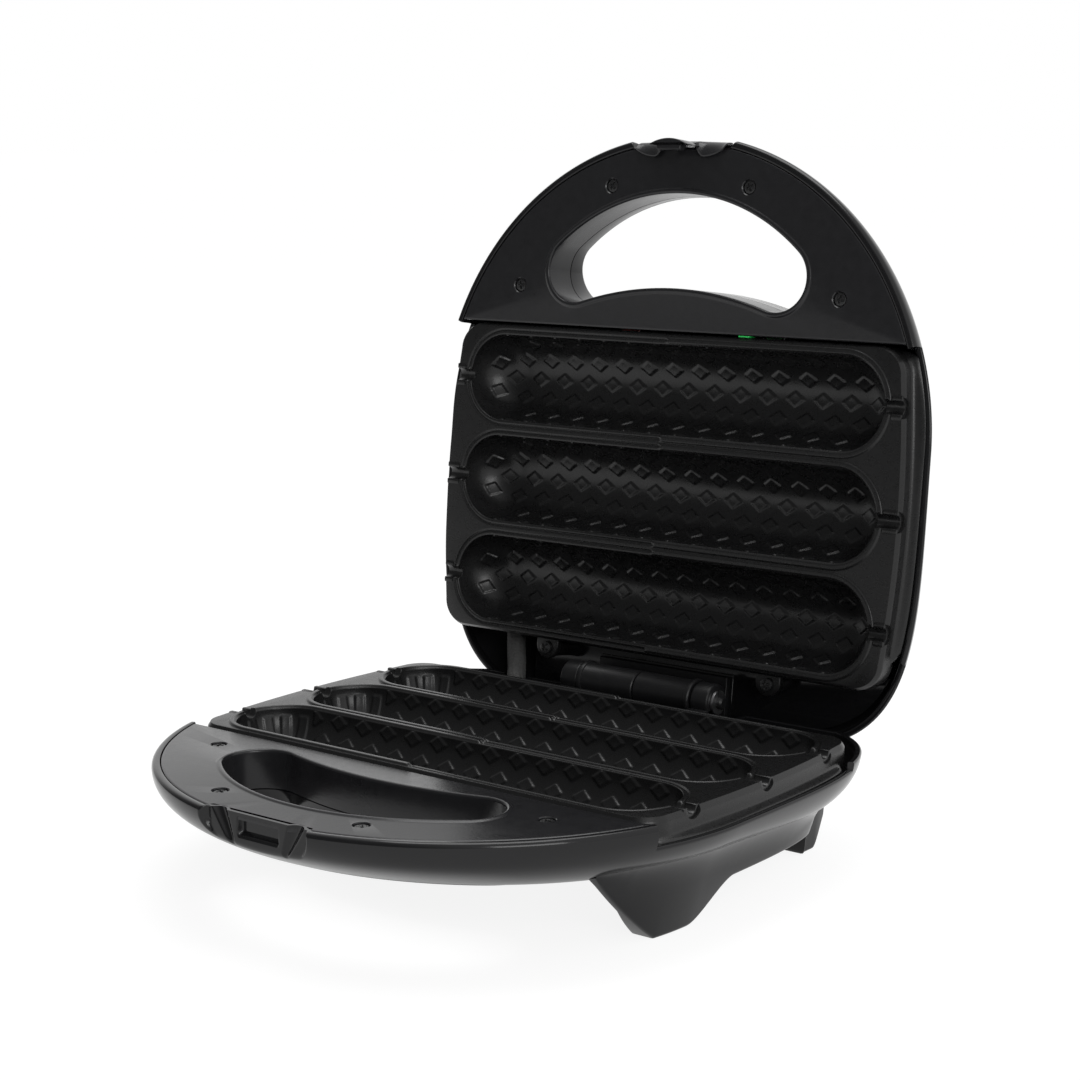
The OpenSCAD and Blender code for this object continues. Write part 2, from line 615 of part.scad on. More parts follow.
// Cord inlet: a collar at the back of the bowl, low down in the middle
inlet_z = -25.8;
inlet_wall = 1.8;
inlet_rear = -12.5;
inlet_front = 12.5;
bush_wall = 1.5;
inlet_r = cord_r + bush_wall + fit;
module inlet_collar() translate([0, -inlet_rear, inlet_z]) rotate([90, 0, 0])
    cylinder(r = inlet_r + inlet_wall, h = inlet_front - inlet_rear);
module inlet_bore() translate([0, past - inlet_rear, inlet_z]) rotate([90, 0, 0])
    cylinder(r = inlet_r, h = inlet_front - inlet_rear + 2 * past);
bush_l = 14;
bush_flange_t = 1.5;
module inlet_bush() translate([0, -inlet_rear, inlet_z]) rotate([-90, 0, 0]) difference() {
    union() {
        translate([0, 0, -bush_l]) cylinder(r = cord_r + bush_wall, h = bush_l);
        cylinder(r = inlet_r + inlet_wall - fit, h = bush_flange_t);
    }
    translate([0, 0, -bush_l - past]) cylinder(r = cord_r, h = bush_l + bush_flange_t + 2 * past);
}

// Hinge: ears on the base, a barrel in two halves on the lid, one pin
side_gap = 0.5;
bracket_t = 2.2;
bracket_hw = hinge_bay_hw - past;
bracket_low = shelf_z + 2 * fit;
bracket_high = bulkhead_top - past;
ear_x = barrel_hl + side_gap;
ear_end = ear_x + ear_t;
ear_drop = 4;
module at_axis() translate([0, 0, half_gap]) children();
module hinge_ears() difference() {
    union() {
        block([-bracket_hw, -hinge_bay_s, bracket_low], [bracket_hw, -hinge_bay_s + bracket_t, bracket_high]);
        both_sides() {
            at_axis() rod_x(barrel_r, ear_x, ear_end);
            block([ear_x, -hinge_bay_s + past, -barrel_r - ear_drop], [ear_end, 0, half_gap + barrel_r / 2]);
        }
    }
    at_axis() rod_x(pin_r + pin_clear, -ear_end - past, ear_end + past);
    bracket_screw_places() translate([0, 0, -past]) cylinder(r = screw_r + fit, h = bracket_t + 2 * past);
}
module bracket_screw_set() bracket_screw_places() translate([0, 0, bracket_t])
    screw(screw_r, screw_head_r, screw_head_h, bracket_screw_l);
pin_head_r = pin_r + 1.9;
pin_head_t = 1.6;
pin_head_x = -ear_end - fit;
pin_end = ear_end + 3.5;
clip_r = pin_r + 2.2;
clip_t = 1;
clip_mouth = 1.8;
module pin() at_axis() {
    rod_x(pin_r, pin_head_x, pin_end);
    rod_x(pin_head_r, pin_head_x - pin_head_t, pin_head_x);
}
module pin_clip() at_axis() difference() {
    rod_x(clip_r, ear_end + fit, ear_end + fit + clip_t);
    rod_x(pin_r, 0, pin_end + past);
    block([0, -clip_mouth / 2, 0], [pin_end + past, clip_mouth / 2, 2 * barrel_r]);
}
pad_z = half_gap - barrel_r - 9;
pad_hw = barrel_hl + 4;
pad_hd = 8;
pad_t = 3;
web_inset = 3;
web_hd = 3.5;
barrel_flange_w = 2;
barrel_flange_h = 0.8;
split_w = 0.7;
split_h = 1;
lid_screw_x = barrel_hl + 0.5;
module lid_barrel() difference() {
    union() {
        at_axis() rod_x(barrel_r, -barrel_hl, barrel_hl);
        both_sides() at_axis() rod_x(barrel_r + barrel_flange_h, barrel_hl - barrel_flange_w, barrel_hl);
        block([-barrel_hl + web_inset, -web_hd, pad_z], [barrel_hl - web_inset, web_hd, half_gap]);
        block([-pad_hw, -pad_hd, pad_z], [pad_hw, pad_hd, pad_z + pad_t]);
    }
    at_axis() rod_x(pin_r + pin_clear, -barrel_hl - past, barrel_hl + past);
    at_axis() difference() {
        rod_x(2 * barrel_r, -split_w / 2, split_w / 2);
        rod_x(barrel_r - split_h, -past, past);
        block([-past, -2 * barrel_r, -3 * barrel_r], [past, 2 * barrel_r, -barrel_r / 2]);
    }
    both_sides() drill(lid_screw_x, 0, screw_r + fit, pad_z - past, pad_z + pad_t + past);
}
lid_screw_l = 6;
module lid_barrel_screws() both_sides() translate([lid_screw_x, 0, pad_z + pad_t])
    screw(screw_r, screw_head_r, screw_head_h, lid_screw_l);

// Latch: an arched clip that turns on a pin in the lid's rim and hooks under the base's handle frame
latch_wall = 2.4;
latch_r = 12;
latch_set = 2.4;
latch_c = front_s - latch_r - latch_set;
latch_back = recess_s + 0.7;
pivot_s = recess_s - 2.6;
pivot_z = -6.5;
knuckle_r = 2.7;
latch_top = pivot_z + past;
knuckle_end = latch_hw - 0.9;
spring_hw = 2.8;
knuckle_x = spring_hw + 0.4;
hook_hw = 5.5;
hook_depth = 1.5;
hook_h = 4;
hook_z = parting_gap + frame_t + 0.6;
catch_hw = hook_hw + 1.5;
catch_depth = hook_depth + 1;
catch_h = hook_h + 2.6;
knuckle_bay = 1;
module latch_plan() difference() {
    translate([0, -latch_c]) circle(r = latch_r);
    translate([0, -latch_c]) circle(r = latch_r - latch_wall);
    translate([-body_r, -latch_back]) square([2 * body_r, 2 * body_r]);
    both_sides() translate([latch_hw, -2 * body_r]) square([body_r, 4 * body_r]);
}
module at_pivot() translate([0, -pivot_s, pivot_z]) children();
// Thumb wings to both sides of the clip, which rise away from the recess towards their tips
wing_reach = recess_hw - 2.5;
wing_t = 1.5;
wing_rise = 1.2;
wing_back = -1.5;
wing_front = 4;
wing_steps = 6;
function wing_point(i, out) = let (u = i / wing_steps)
    [latch_hw - past + u * (wing_reach - latch_hw + past), -latch_back - wing_rise * u * u - out];
module latch_wing() translate([0, 0, wing_back]) linear_extrude(wing_front - wing_back)
    polygon([for (i = [0:wing_steps]) wing_point(i, 0),
        for (i = [wing_steps:-1:0]) wing_point(i, wing_t)]);
module latch_clip() difference() {
    union() {
        both_sides() latch_wing();
        translate([0, 0, latch_top]) linear_extrude(latch_reach - latch_top) latch_plan();
        block([-hook_hw, -latch_c - latch_r + latch_wall / 2, hook_z],
            [hook_hw, -recess_s + hook_depth, hook_z + hook_h]);
        both_sides() {
            at_pivot() rod_x(knuckle_r, knuckle_x, knuckle_end);
            block([knuckle_x, -latch_back - latch_wall / 4, pivot_z - knuckle_r],
                [knuckle_end, -pivot_s, pivot_z + knuckle_r]);
        }
    }
    at_pivot() rod_x(latch_pin_r + pin_clear, -latch_hw - past, latch_hw + past);
}
pin_hold = 4;
module pivot_pin() at_pivot() rod_x(latch_pin_r, -latch_hw - pin_hold, latch_hw + pin_hold);
module pivot_spring() at_pivot() difference() {
    rod_x(knuckle_r - fit, -spring_hw, spring_hw);
    rod_x(latch_pin_r + fit, -spring_hw - past, spring_hw + past);
}

// Lamp windows and lamps in the lid
lens_l = 6.5;
lens_rim = 1.2;
lens_end = lens_z - lens_proud + lens_l;
lamp_r = lens_r - 1.2;
lamp_l = 13;
lamp_seat = 3;
module lens() difference() {
    union() {
        drill(0, lamp_s, lens_r, lens_z - lens_proud, lens_end);
        drill(0, lamp_s, lens_r + lens_rim, lens_end - lens_rim, lens_end);
    }
    drill(0, lamp_s, lamp_r + fit, lens_end - lamp_seat, lens_end + past);
}
module lamp() translate([0, -lamp_s, lens_end - lamp_seat]) {
    cylinder(r = lamp_r, h = lamp_l - lamp_r);
    translate([0, 0, lamp_l - lamp_r]) sphere(r = lamp_r);
}

// What the lid's shell has beyond its twin
module lid_inside() {
    block([-pad_hw - past, -pad_hd - past, -2 * body_r], [pad_hw + past, pad_hd + past, pad_z]);
    both_sides() post(lamp_x, lamp_s, lens_r + lens_rim, lens_end - lens_rim);
}
bay_gap = 0.7;
module lid_cuts() {
    rear_cut(lid_rear_cut_h);
    block([-latch_hw - bay_gap, -recess_s - past, pivot_z - knuckle_r - knuckle_bay],
        [latch_hw + bay_gap, -pivot_s + knuckle_r + knuckle_bay, pivot_z + knuckle_r + knuckle_bay]);
    at_pivot() rod_x(latch_pin_r, -latch_hw - pin_hold - fit, latch_hw + pin_hold + fit);
    both_sides() drill(lamp_x, lamp_s, lens_r + fit, -2 * body_r, lens_end);
    both_sides() drill(lid_screw_x, 0, screw_r, pad_z - lid_screw_l, pad_z + past);
}

// Switchgear under the lower heat shield
shield_low = shield_top - shield_t;
thermostat_h = 8;
tab_l = 6;
tab_hw = 3;
tab_z = 2;
tab_t = 0.8;
module thermostat_body() translate([0, -cavity_mid, shield_low - thermostat_h]) {
    cylinder(r = thermostat_r, h = thermostat_h);
    both_sides() block([thermostat_r - past, -tab_hw, tab_z], [thermostat_r + tab_l, tab_hw, tab_z + tab_t]);
}
fuse_x = 34;
fuse_r = 2;
fuse_l = 12;
fuse_wire_r = 0.5;
fuse_clip_hw = 2;
fuse_clip_r = fuse_r + 0.6;
module fuse_body() translate([fuse_x, -cavity_mid, shield_low - fuse_r]) {
    rod_x(fuse_r, -fuse_l / 2, fuse_l / 2);
    rod_x(fuse_wire_r, -fuse_l, fuse_l);
    block([-fuse_clip_hw, -fuse_clip_r, -fuse_clip_r], [fuse_clip_hw, fuse_clip_r, fuse_r]);
}
terminal_hw = 15;
terminal_w = 12;
terminal_h = 7;
terminal_s = 54;
terminal_pitch = 10;
terminal_bore = 2;
terminal_pad = 1.4;
terminal_z = terminal_pad + wall - outer_depth(-90, body_c - terminal_s);
module terminal_body() translate([0, -terminal_s, terminal_z]) difference() {
    block([-terminal_hw, -terminal_w / 2, 0], [terminal_hw, terminal_w / 2, terminal_h]);
    for (k = [-1, 0, 1]) translate([k * terminal_pitch, 0, terminal_h / 2]) {
        rotate([90, 0, 0]) cylinder(r = terminal_bore, h = 2 * terminal_w, center = true);
        cylinder(r = terminal_bore - fit, h = terminal_h);
    }
}

// Lead sleeve between base and lid: hand-picked points from the hinge axis, in the open pose
lead_notch_x = -70;
lead_notch_h = 9;
notch_hw = 6;
lead_route = [[-78, 20, 16], [-76, 16, 10], [-73, 12, 3], [-70, 8.5, -2], [-67, 4, -7],
    [-66, 0, -13], [-66, -3, -19]];
lead_sides = 10;
function lead_dir(i) =
    let (d = lead_route[min(i + 1, len(lead_route) - 1)] - lead_route[max(i - 1, 0)]) d / norm(d);
function lead_ring(i) = let (d = lead_dir(i), u = cross(d, [1, 0, 0]), v = u / norm(u), w = cross(d, v))
    [for (k = [0:lead_sides - 1]) let (a = 360 * k / lead_sides)
        lead_route[i] + lead_r * (cos(a) * v + sin(a) * w)];
module lead_tube() {
    n = len(lead_route);
    points = [for (i = [0:n - 1]) each lead_ring(i)];
    walls = [for (i = [0:n - 2]) for (k = [0:lead_sides - 1])
        let (l = (k + 1) % lead_sides, a = i * lead_sides, b = a + lead_sides)
        each [[a + k, a + l, b + l], [a + k, b + l, b + k]]];
    ends = [[for (k = [0:lead_sides - 1]) lead_sides - 1 - k],
        [for (k = [0:lead_sides - 1]) (n - 1) * lead_sides + k]];
    polyhedron(points, concat(walls, ends));
}

// Nodes
gloss_black = [0.05, 0.05, 0.055];
satin_black = [0.09, 0.09, 0.095];
coat_black = [0.12, 0.12, 0.125];
steel = [0.65, 0.66, 0.68];
// The base's moulding is made in two: the bowl, and the housing round the cord inlet behind a flat joint
housing_s = max(inlet_front, hinge_bay_s + bulkhead_t) + inlet_wall;
module base_moulding() shell() {
    rear_inside();
    rear_cuts();
    inlet_collar();
}
module base_shell() color(gloss_black) at_base() intersection() {
    base_moulding();
    block([-2 * body_r, -2 * front_s, -2 * body_r], [2 * body_r, -housing_s, 2 * body_r]);
}
module base_rear_housing() color(gloss_black) at_base() intersection() {
    base_moulding();
    block([-2 * body_r, -housing_s, -2 * body_r], [2 * body_r, 2 * body_r, 2 * body_r]);
}
module base_rails() color(gloss_black) at_base() rail_pair();
module base_rear_wall() color(gloss_black) at_base() rear_wall();
module base_handle_frame() color(satin_black) at_base() handle_frame();
module base_handle_screws() color(coat_black) at_base() handle_screw_set();
module lower_plate() color(coat_black) at_base() cooking_plate();
module lower_lug_screws() color(coat_black) at_base() lug_screw_set();
module lower_heating_element() color(steel) at_base() heating_element();
module lower_element_saddles() color(steel) at_base() element_saddles();
module lower_heat_shield() color(steel) at_base() heat_shield();
module lower_plate_screws() color(steel) at_base() plate_screw_set();
module thermostat() color("ivory") at_base() thermostat_body();
module thermal_fuse() color("silver") at_base() fuse_body();
module terminal_block() color("white") at_base() terminal_body();
module cord_inlet_bush() color(satin_black) at_base() inlet_bush();
module base_hinge_bracket() color(satin_black) at_base() hinge_ears();
module base_hinge_screws() color(coat_black) at_base() bracket_screw_set();
module hinge_pin() color(steel) at_base() pin();
module hinge_pin_clip() color(steel) at_base() pin_clip();
module lid_shell() color(gloss_black) at_lid() shell() {
    lid_inside();
    lid_cuts();
}
module lid_handle_frame() color(satin_black) at_lid() handle_frame();
module lid_handle_screws() color(coat_black) at_lid() handle_screw_set();
module upper_plate() color(coat_black) at_lid() cooking_plate();
module upper_lug_screws() color(coat_black) at_lid() lug_screw_set();
module upper_heating_element() color(steel) at_lid() heating_element();
module upper_element_saddles() color(steel) at_lid() element_saddles();
module upper_heat_shield() color(steel) at_lid() heat_shield();
module upper_plate_screws() color(steel) at_lid() plate_screw_set();
module lid_hinge_bracket() color(satin_black) at_lid() lid_barrel();
module lid_hinge_screws() color(coat_black) at_lid() lid_barrel_screws();
module power_lamp_lens() color("red") at_lid() translate([-lamp_x, 0, 0]) lens();
module ready_lamp_lens() color("lime") at_lid() translate([lamp_x, 0, 0]) lens();
module indicator_lamps() color("white") at_lid() for (x = [-lamp_x, lamp_x]) translate([x, 0, 0]) lamp();
module latch() color(satin_black) at_lid() latch_clip();
module latch_pin() color(steel) at_lid() pivot_pin();
module latch_spring() color(steel) at_lid() pivot_spring();
module lead_sleeve() color("lightgray") at_hinge() lead_tube();

base_shell();
base_rails();
base_rear_housing();
base_rear_wall();
base_handle_frame();
base_handle_screws();
lower_plate();
lower_lug_screws();
lower_heating_element();
lower_element_saddles();
lower_heat_shield();
lower_plate_screws();
thermostat();
thermal_fuse();
terminal_block();
cord_inlet_bush();
base_hinge_bracket();
base_hinge_screws();
hinge_pin();
hinge_pin_clip();
lid_shell();
lid_handle_frame();
lid_handle_screws();
upper_plate();
upper_lug_screws();
upper_heating_element();
upper_element_saddles();
upper_heat_shield();
upper_plate_screws();
lid_hinge_bracket();
lid_hinge_screws();
power_lamp_lens();
ready_lamp_lens();
indicator_lamps();
latch();
latch_pin();
latch_spring();
lead_sleeve();
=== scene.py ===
# %% [markdown]
# Corn dog maker, standing open.
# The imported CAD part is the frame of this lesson: it fixes where each piece is, how large it is
# and which body it rides on. Here the visible pieces are made again as smooth surfaces, worked
# out with numpy, and every piece gets a finish made of shader nodes.

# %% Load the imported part
import json
import bmesh
import bpy
import numpy as np
from mathutils import Matrix


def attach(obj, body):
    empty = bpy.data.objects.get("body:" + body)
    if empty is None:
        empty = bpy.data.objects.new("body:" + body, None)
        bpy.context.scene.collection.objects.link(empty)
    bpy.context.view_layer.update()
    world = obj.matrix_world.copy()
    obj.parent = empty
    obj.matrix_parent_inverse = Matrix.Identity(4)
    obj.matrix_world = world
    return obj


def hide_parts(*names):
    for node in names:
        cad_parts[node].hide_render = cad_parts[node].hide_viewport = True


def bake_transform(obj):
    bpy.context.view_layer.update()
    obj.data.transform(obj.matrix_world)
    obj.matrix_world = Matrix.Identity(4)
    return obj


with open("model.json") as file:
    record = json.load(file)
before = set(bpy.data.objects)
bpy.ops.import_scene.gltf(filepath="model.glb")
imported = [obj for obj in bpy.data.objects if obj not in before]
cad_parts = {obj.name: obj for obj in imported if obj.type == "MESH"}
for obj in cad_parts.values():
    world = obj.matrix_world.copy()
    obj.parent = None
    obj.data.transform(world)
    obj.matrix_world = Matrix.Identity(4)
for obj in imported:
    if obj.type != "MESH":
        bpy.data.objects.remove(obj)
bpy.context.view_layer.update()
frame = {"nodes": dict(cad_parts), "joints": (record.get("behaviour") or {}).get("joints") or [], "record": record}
joints = {joint["name"]: joint for joint in frame["joints"]}

# %% [markdown]
# The appliance is two twin halves. Each half is drawn in its own plain coordinates, in
# millimetres: x to the right, s forward from the hinge axis, and z up out of the half's opening,
# with z = 0 on the parting plane. Two placing functions carry these to metres in the shared
# frame: the base just shifts, and the lid is mirrored in the parting plane and turned back.

# %% Two placing functions
hinge_y, hinge_z = (1000 * value for value in joints["lid_hinge"]["pos_m"][1:])
open_angle = np.radians(96.65)
half_gap = 1.0


def on_base(x, s, z):
    """Base to the shared frame: y = hinge_y - s, height = the parting plane + z."""
    x, s, z = np.broadcast_arrays(x, s, z)
    return np.stack([x, hinge_y - s, hinge_z - half_gap + z], -1) / 1000


def on_lid(x, s, z):
    """Lid to the shared frame: mirror z in the parting plane, then turn about the hinge axis."""
    x, s, z = np.broadcast_arrays(x, s, z)
    up = half_gap - z
    y = hinge_y - np.cos(open_angle) * s + np.sin(open_angle) * up
    height = hinge_z + np.sin(open_angle) * s + np.cos(open_angle) * up
    return np.stack([x, y, height], -1) / 1000


print(f"hinge axis at y {hinge_y:.2f}, z {hinge_z:.2f} mm, open by {np.degrees(open_angle):.2f} degrees")

# %% [markdown]
# The camera stands where the photographer stood: 38 degrees to the right of the front and 10
# degrees above level. The long lens keeps the perspective mild. The eye was fitted in the fit's
# own units, and fit_scale turns these to millimetres.

# %% Camera
photo_size, focal_pixels, fit_scale, fit_shift = 1080, 2258.267, 0.82, 0.9
view_turn, view_rise, view_roll = np.radians([38.414, 10.081, -0.306])
eye_in_view = fit_scale * np.array([-49.458, 72.572, 1085.887])
toward_eye = np.array([np.sin(view_turn) * np.cos(view_rise), -np.cos(view_turn) * np.cos(view_rise),
                       np.sin(view_rise)])
level_right = np.array([np.cos(view_turn), np.sin(view_turn), 0])
level_up = np.cross(toward_eye, level_right)
view_right = np.cos(view_roll) * level_right + np.sin(view_roll) * level_up
view_up = np.cos(view_roll) * level_up - np.sin(view_roll) * level_right
view_axes = np.stack([view_right, view_up, toward_eye])
eye = (eye_in_view @ view_axes + np.array([0, hinge_y + fit_shift, hinge_z - half_gap])) / 1000
camera_data = bpy.data.cameras.new("photo_camera")
camera_data.sensor_width = 36
camera_data.lens = camera_data.sensor_width * focal_pixels / photo_size
camera_data.clip_end = 50
camera = bpy.data.objects.new("photo_camera", camera_data)
pose = np.eye(4)
pose[:3, :3] = view_axes.T
pose[:3, 3] = eye
camera.matrix_world = Matrix(pose.tolist())
bpy.context.scene.collection.objects.link(camera)
bpy.context.scene.camera = camera
print("camera at", np.round(eye, 3), "lens", round(camera_data.lens, 2))

# %% [markdown]
# Every surface below is a grid of points or a loop carried up through rows. These helpers turn
# grids into faces, weld their seams and poles, and point all faces outwards. An edge that is
# sharper than the given angle stays crisp, and all others are shaded round.

# %% Mesh helpers


def quads(rows, cols, close_rows=False, close_cols=False):
    """Faces of a rows by cols grid: each face joins point (i, j) with its next row and column."""
    i = np.arange(rows if close_rows else rows - 1)
    j = np.arange(cols if close_cols else cols - 1)
    i, j = (part.ravel() for part in np.meshgrid(i, j, indexing="ij"))
    below, beside = (i + 1) % rows, (j + 1) % cols
    return np.stack([i * cols + j, i * cols + beside, below * cols + beside, below * cols + j], -1).tolist()


def end_caps(rows, cols):
    """Two faces that close the first and the last column of a grid."""
    first = [row * cols for row in range(rows)]
    return [first, [index + cols - 1 for index in first][::-1]]


def weld(mesh, angle):
    """Merges points closer than a micron, turns faces outwards and marks the sharp edges."""
    work = bmesh.new()
    work.from_mesh(mesh)
    bmesh.ops.remove_doubles(work, verts=work.verts, dist=1e-6)
    bmesh.ops.recalc_face_normals(work, faces=work.faces)
    work.to_mesh(mesh)
    work.free()
    mesh.shade_smooth()
    mesh.set_sharp_from_angle(angle=np.radians(angle))


def build(name, parts, place, angle=38):
    """One object from closed parts, each a (points, faces) pair in the half's own coordinates."""
    points, faces, first = [], [], 0
    for part_points, part_faces in parts:
        flat = np.asarray(part_points, float).reshape(-1, 3)
        points.append(place(*flat.T))
        faces += [[index + first for index in face] for face in part_faces]
        first += len(flat)
    mesh = bpy.data.meshes.new(name)
    mesh.from_pydata(np.concatenate(points).tolist(), [], faces)
    weld(mesh, angle)
    piece = bpy.data.objects.new(name, mesh)
    bpy.context.scene.collection.objects.link(piece)
    return piece


def carve(piece, parts, place, angle=38):
    """Cuts closed parts out of a piece and keeps the result as its mesh."""
    cutter = build("cutter", parts, place)
    cut = piece.modifiers.new("cut", "BOOLEAN")
    cut.operation = "DIFFERENCE"
    cut.solver = "EXACT"
    cut.object = cutter
    graph = bpy.context.evaluated_depsgraph_get()
    mesh = bpy.data.meshes.new_from_object(piece.evaluated_get(graph))
    mesh.name = piece.name
    piece.modifiers.clear()
    piece.data = mesh
    bpy.data.objects.remove(cutter)
    weld(mesh, angle)


def ring_loop(loop):
    """The loop as an array that runs anticlockwise, by the sign of its area."""
    loop = np.asarray(loop, float)
    nxt = np.roll(loop, -1, 0)
    area = (loop[:, 0] * nxt[:, 1] - nxt[:, 0] * loop[:, 1]).sum()
    return loop if area > 0 else loop[::-1]


def inset_loop(loop, distance):
    """Moves each corner of an anticlockwise loop inwards along the mitre of its two edges."""
    ahead = np.roll(loop, -1, 0) - loop
    ahead = ahead / np.linalg.norm(ahead, axis=1, keepdims=True)
    behind = np.roll(ahead, 1, 0)
    left_ahead = np.stack([-ahead[:, 1], ahead[:, 0]], 1)
    left_behind = np.stack([-behind[:, 1], behind[:, 0]], 1)
    mitre = (left_ahead + left_behind) / (1 + (left_ahead * left_behind).sum(1, keepdims=True))
    return loop + distance * mitre


def turned(points, axis):
    """Lays a shape drawn in (a, b, height) along the axis z, x or s."""
    a, b, height = np.moveaxis(np.asarray(points, float), -1, 0)
    order = {"z": (a, b, height), "x": (height, a, b), "s": (a, height, b)}[axis]
    return np.stack(order, -1)


def slab(loop, low, high, edge, axis="z", steps=4):
    """A loop carried from low to high; its edges are quarter circles of radius edge."""
    loop = ring_loop(loop)
    turn = np.linspace(0, np.pi / 2, steps)
    insets = edge * (1 - np.sin(np.concatenate([turn, turn[::-1]])))
    lifts = edge * (1 - np.cos(turn))
    heights = np.concatenate([low + lifts, high - lifts[::-1]])
    rows = [np.column_stack([inset_loop(loop, inset), np.full(len(loop), height)])
            for inset, height in zip(insets, heights)]
    count = len(loop)
    faces = quads(len(rows), count, close_cols=True)
    faces.append(list(range(count))[::-1])
    faces.append(list(range(count * (len(rows) - 1), count * len(rows))))
    return turned(np.stack(rows), axis).reshape(-1, 3), faces


def brick(low, high, edge):
    """A block between two corners with rounded edges on all but its upright corners."""
    (x0, s0, z0), (x1, s1, z1) = low, high
    return slab([(x0, s0), (x1, s0), (x1, s1), (x0, s1)], z0, z1, edge)


def lathe(profile, axis, centre=(0, 0), count=64, closed=False):
    """A profile of (radius, height) points turned about an axis through the centre."""
    radius, height = np.asarray(profile, float).T
    turn = np.linspace(0, 2 * np.pi, count, endpoint=False)
    a = centre[0] + radius[:, None] * np.cos(turn)
    b = centre[1] + radius[:, None] * np.sin(turn)
    points = turned(np.stack([a, b, np.broadcast_to(height[:, None], a.shape)], -1), axis)
    return points.reshape(-1, 3), quads(len(radius), count, close_rows=closed, close_cols=True)


def rod(radius, low, high, edge, steps=5):
    """Profile of a round rod whose two ends have quarter-circle edges."""
    turn = np.linspace(0, np.pi / 2, steps)
    foot = np.column_stack([radius - edge + edge * np.sin(turn), low + edge * (1 - np.cos(turn))])
    top = np.column_stack([radius - edge + edge * np.cos(turn), high - edge * (1 - np.sin(turn))])
    return np.concatenate([[(0, low)], foot, top, [(0, high)]])


def ease(u):
    """Smooth step: 3u^2 - 2u^3 between 0 and 1."""
    u = np.clip(u, 0, 1)
    return u * u * (3 - 2 * u)


print("helpers ready")

# %% [markdown]
# The shells. On the real appliance they are gloss black mouldings, round in front and squarer at
# the rear, with a rounded shoulder that gets deeper towards the hinge. In plan the outline is a
# circle in front and a superellipse behind. In section it is a superellipse too. One grid, angle
# by section, gives the outer face, the rim and the inner face in one closed skin.

# %% Outline and section of the shells
body_r, body_c, rear_r, rear_power = 115.0, 101.6, 119.5, 4.4
wall, bulge, rim_inset, shoulder_w, shoulder_h, section_power = 2.4, 2.0, 1.7, 61.0, 24.7, 2.1
dome_h, front_depth, rear_depth = 1.0, 0.86, 1.4
front_s = body_c + body_r
seam_s, side_rear_s, frame_r, fit = 140.4, 23.5, 111.7, 0.25


def outline_radius(angle):
    """A circle where sin(angle) >= 0, else a superellipse with half-axes body_r and rear_r."""
    curve = (np.abs(np.cos(angle)) / body_r) ** rear_power + (np.abs(np.sin(angle)) / rear_r) ** rear_power
    return np.where(np.sin(angle) >= 0, body_r, curve ** (-1 / rear_power))


def deepen(s):
    """Depth factor, linear from front_depth at the front edge to rear_depth at the rear edge."""
    return front_depth + (rear_depth - front_depth) * (front_s - s) / (body_r + rear_r)


def side_angle(s):
    """Angle on the right side at which the outline reaches s, read from a fine table."""
    table = np.linspace(np.pi / 2, -np.pi / 2, 6001)
    return np.interp(-s, -(body_c + outline_radius(table) * np.sin(table)), table)


def shell_depth(x, s):
    """Depth of the outer face: deepen(s) (bulge + shoulder_h (1 - (1 - inset/w)^p)^(1/p))."""
    angle = np.arctan2(s - body_c, x)
    inset = np.clip(outline_radius(angle) - np.hypot(x, s - body_c), 0, shoulder_w)
    round_part = (1 - (1 - inset / shoulder_w) ** section_power) ** (1 / section_power)
    return deepen(s) * (bulge + shoulder_h * round_part)


def half_columns(steps):
    """Column angles and rim depths down the right side; a step has two columns at its angle."""
    edges = [np.pi / 2, np.radians(75.5)] + [side_angle(s) for s, depth in steps] + [-np.pi / 2]
    depths = [0, 0] + [depth for s, depth in steps]
    spacing = np.radians([0.16] + [0.8] * (len(edges) - 2))
    angles, cuts = [], []
    for start, end, step, depth in zip(edges[:-1], edges[1:], spacing, depths):
        run = np.linspace(start, end, max(4, int((start - end) / step)))
        angles.append(run)
        cuts.append(np.full(len(run), depth))
    return np.concatenate(angles), np.concatenate(cuts)


print("depth in the middle of the front:", round(float(shell_depth(0, front_s - 30)), 2), "mm")

# %% [markdown]
# The rim is not level: at the sides it is cut back so that the plate shows, and behind that it
# steps again. Each step has two columns of the grid at the same angle. The recess for the latch
# is a dent in the same grid: the front may reach only as far as a U-shaped recess allows, with a
# finger scoop at either side and a pocket in the middle. The numbers of a pocket: half its width,
# its lower and upper edge, its depth, the depth of the scoops, the height of the ramp at its foot.

# %% Grid of a shell
recess_s, recess_hw, recess_h, recess_corner, recess_slope = 211.2, 22.5, 11.5, 9.0, 1.7
scoop_x, scoop_hw, scoop_h, scoop_lean, scoop_depth = 17.5, 3.6, 12.5, 0.5, 2.2
base_pocket = (9.0, -8.4, -1.8, 2.2, scoop_depth, 2.0)
lid_pocket = (8.2, -13.0, -2.8, 6.5, 0, 5.0)


def soft_min(a, b, k):
    """Minimum of two fields with a rounding of width k where they meet."""
    meet = np.clip(k - np.abs(a - b), 0, None) / k
    return np.minimum(a, b) - meet * meet * k / 4


def thumb_scoop(x, z, depth):
    """Depth of the two teardrop scoops: a parabola across a strip that leans in and narrows downwards."""
    taper = np.sqrt(np.clip(1 + z / scoop_h, 0.02, 1))
    across = (np.abs(x) - scoop_x - scoop_lean * z) / (scoop_hw * taper)
    return depth * taper * np.clip(1 - across ** 2, 0, None)


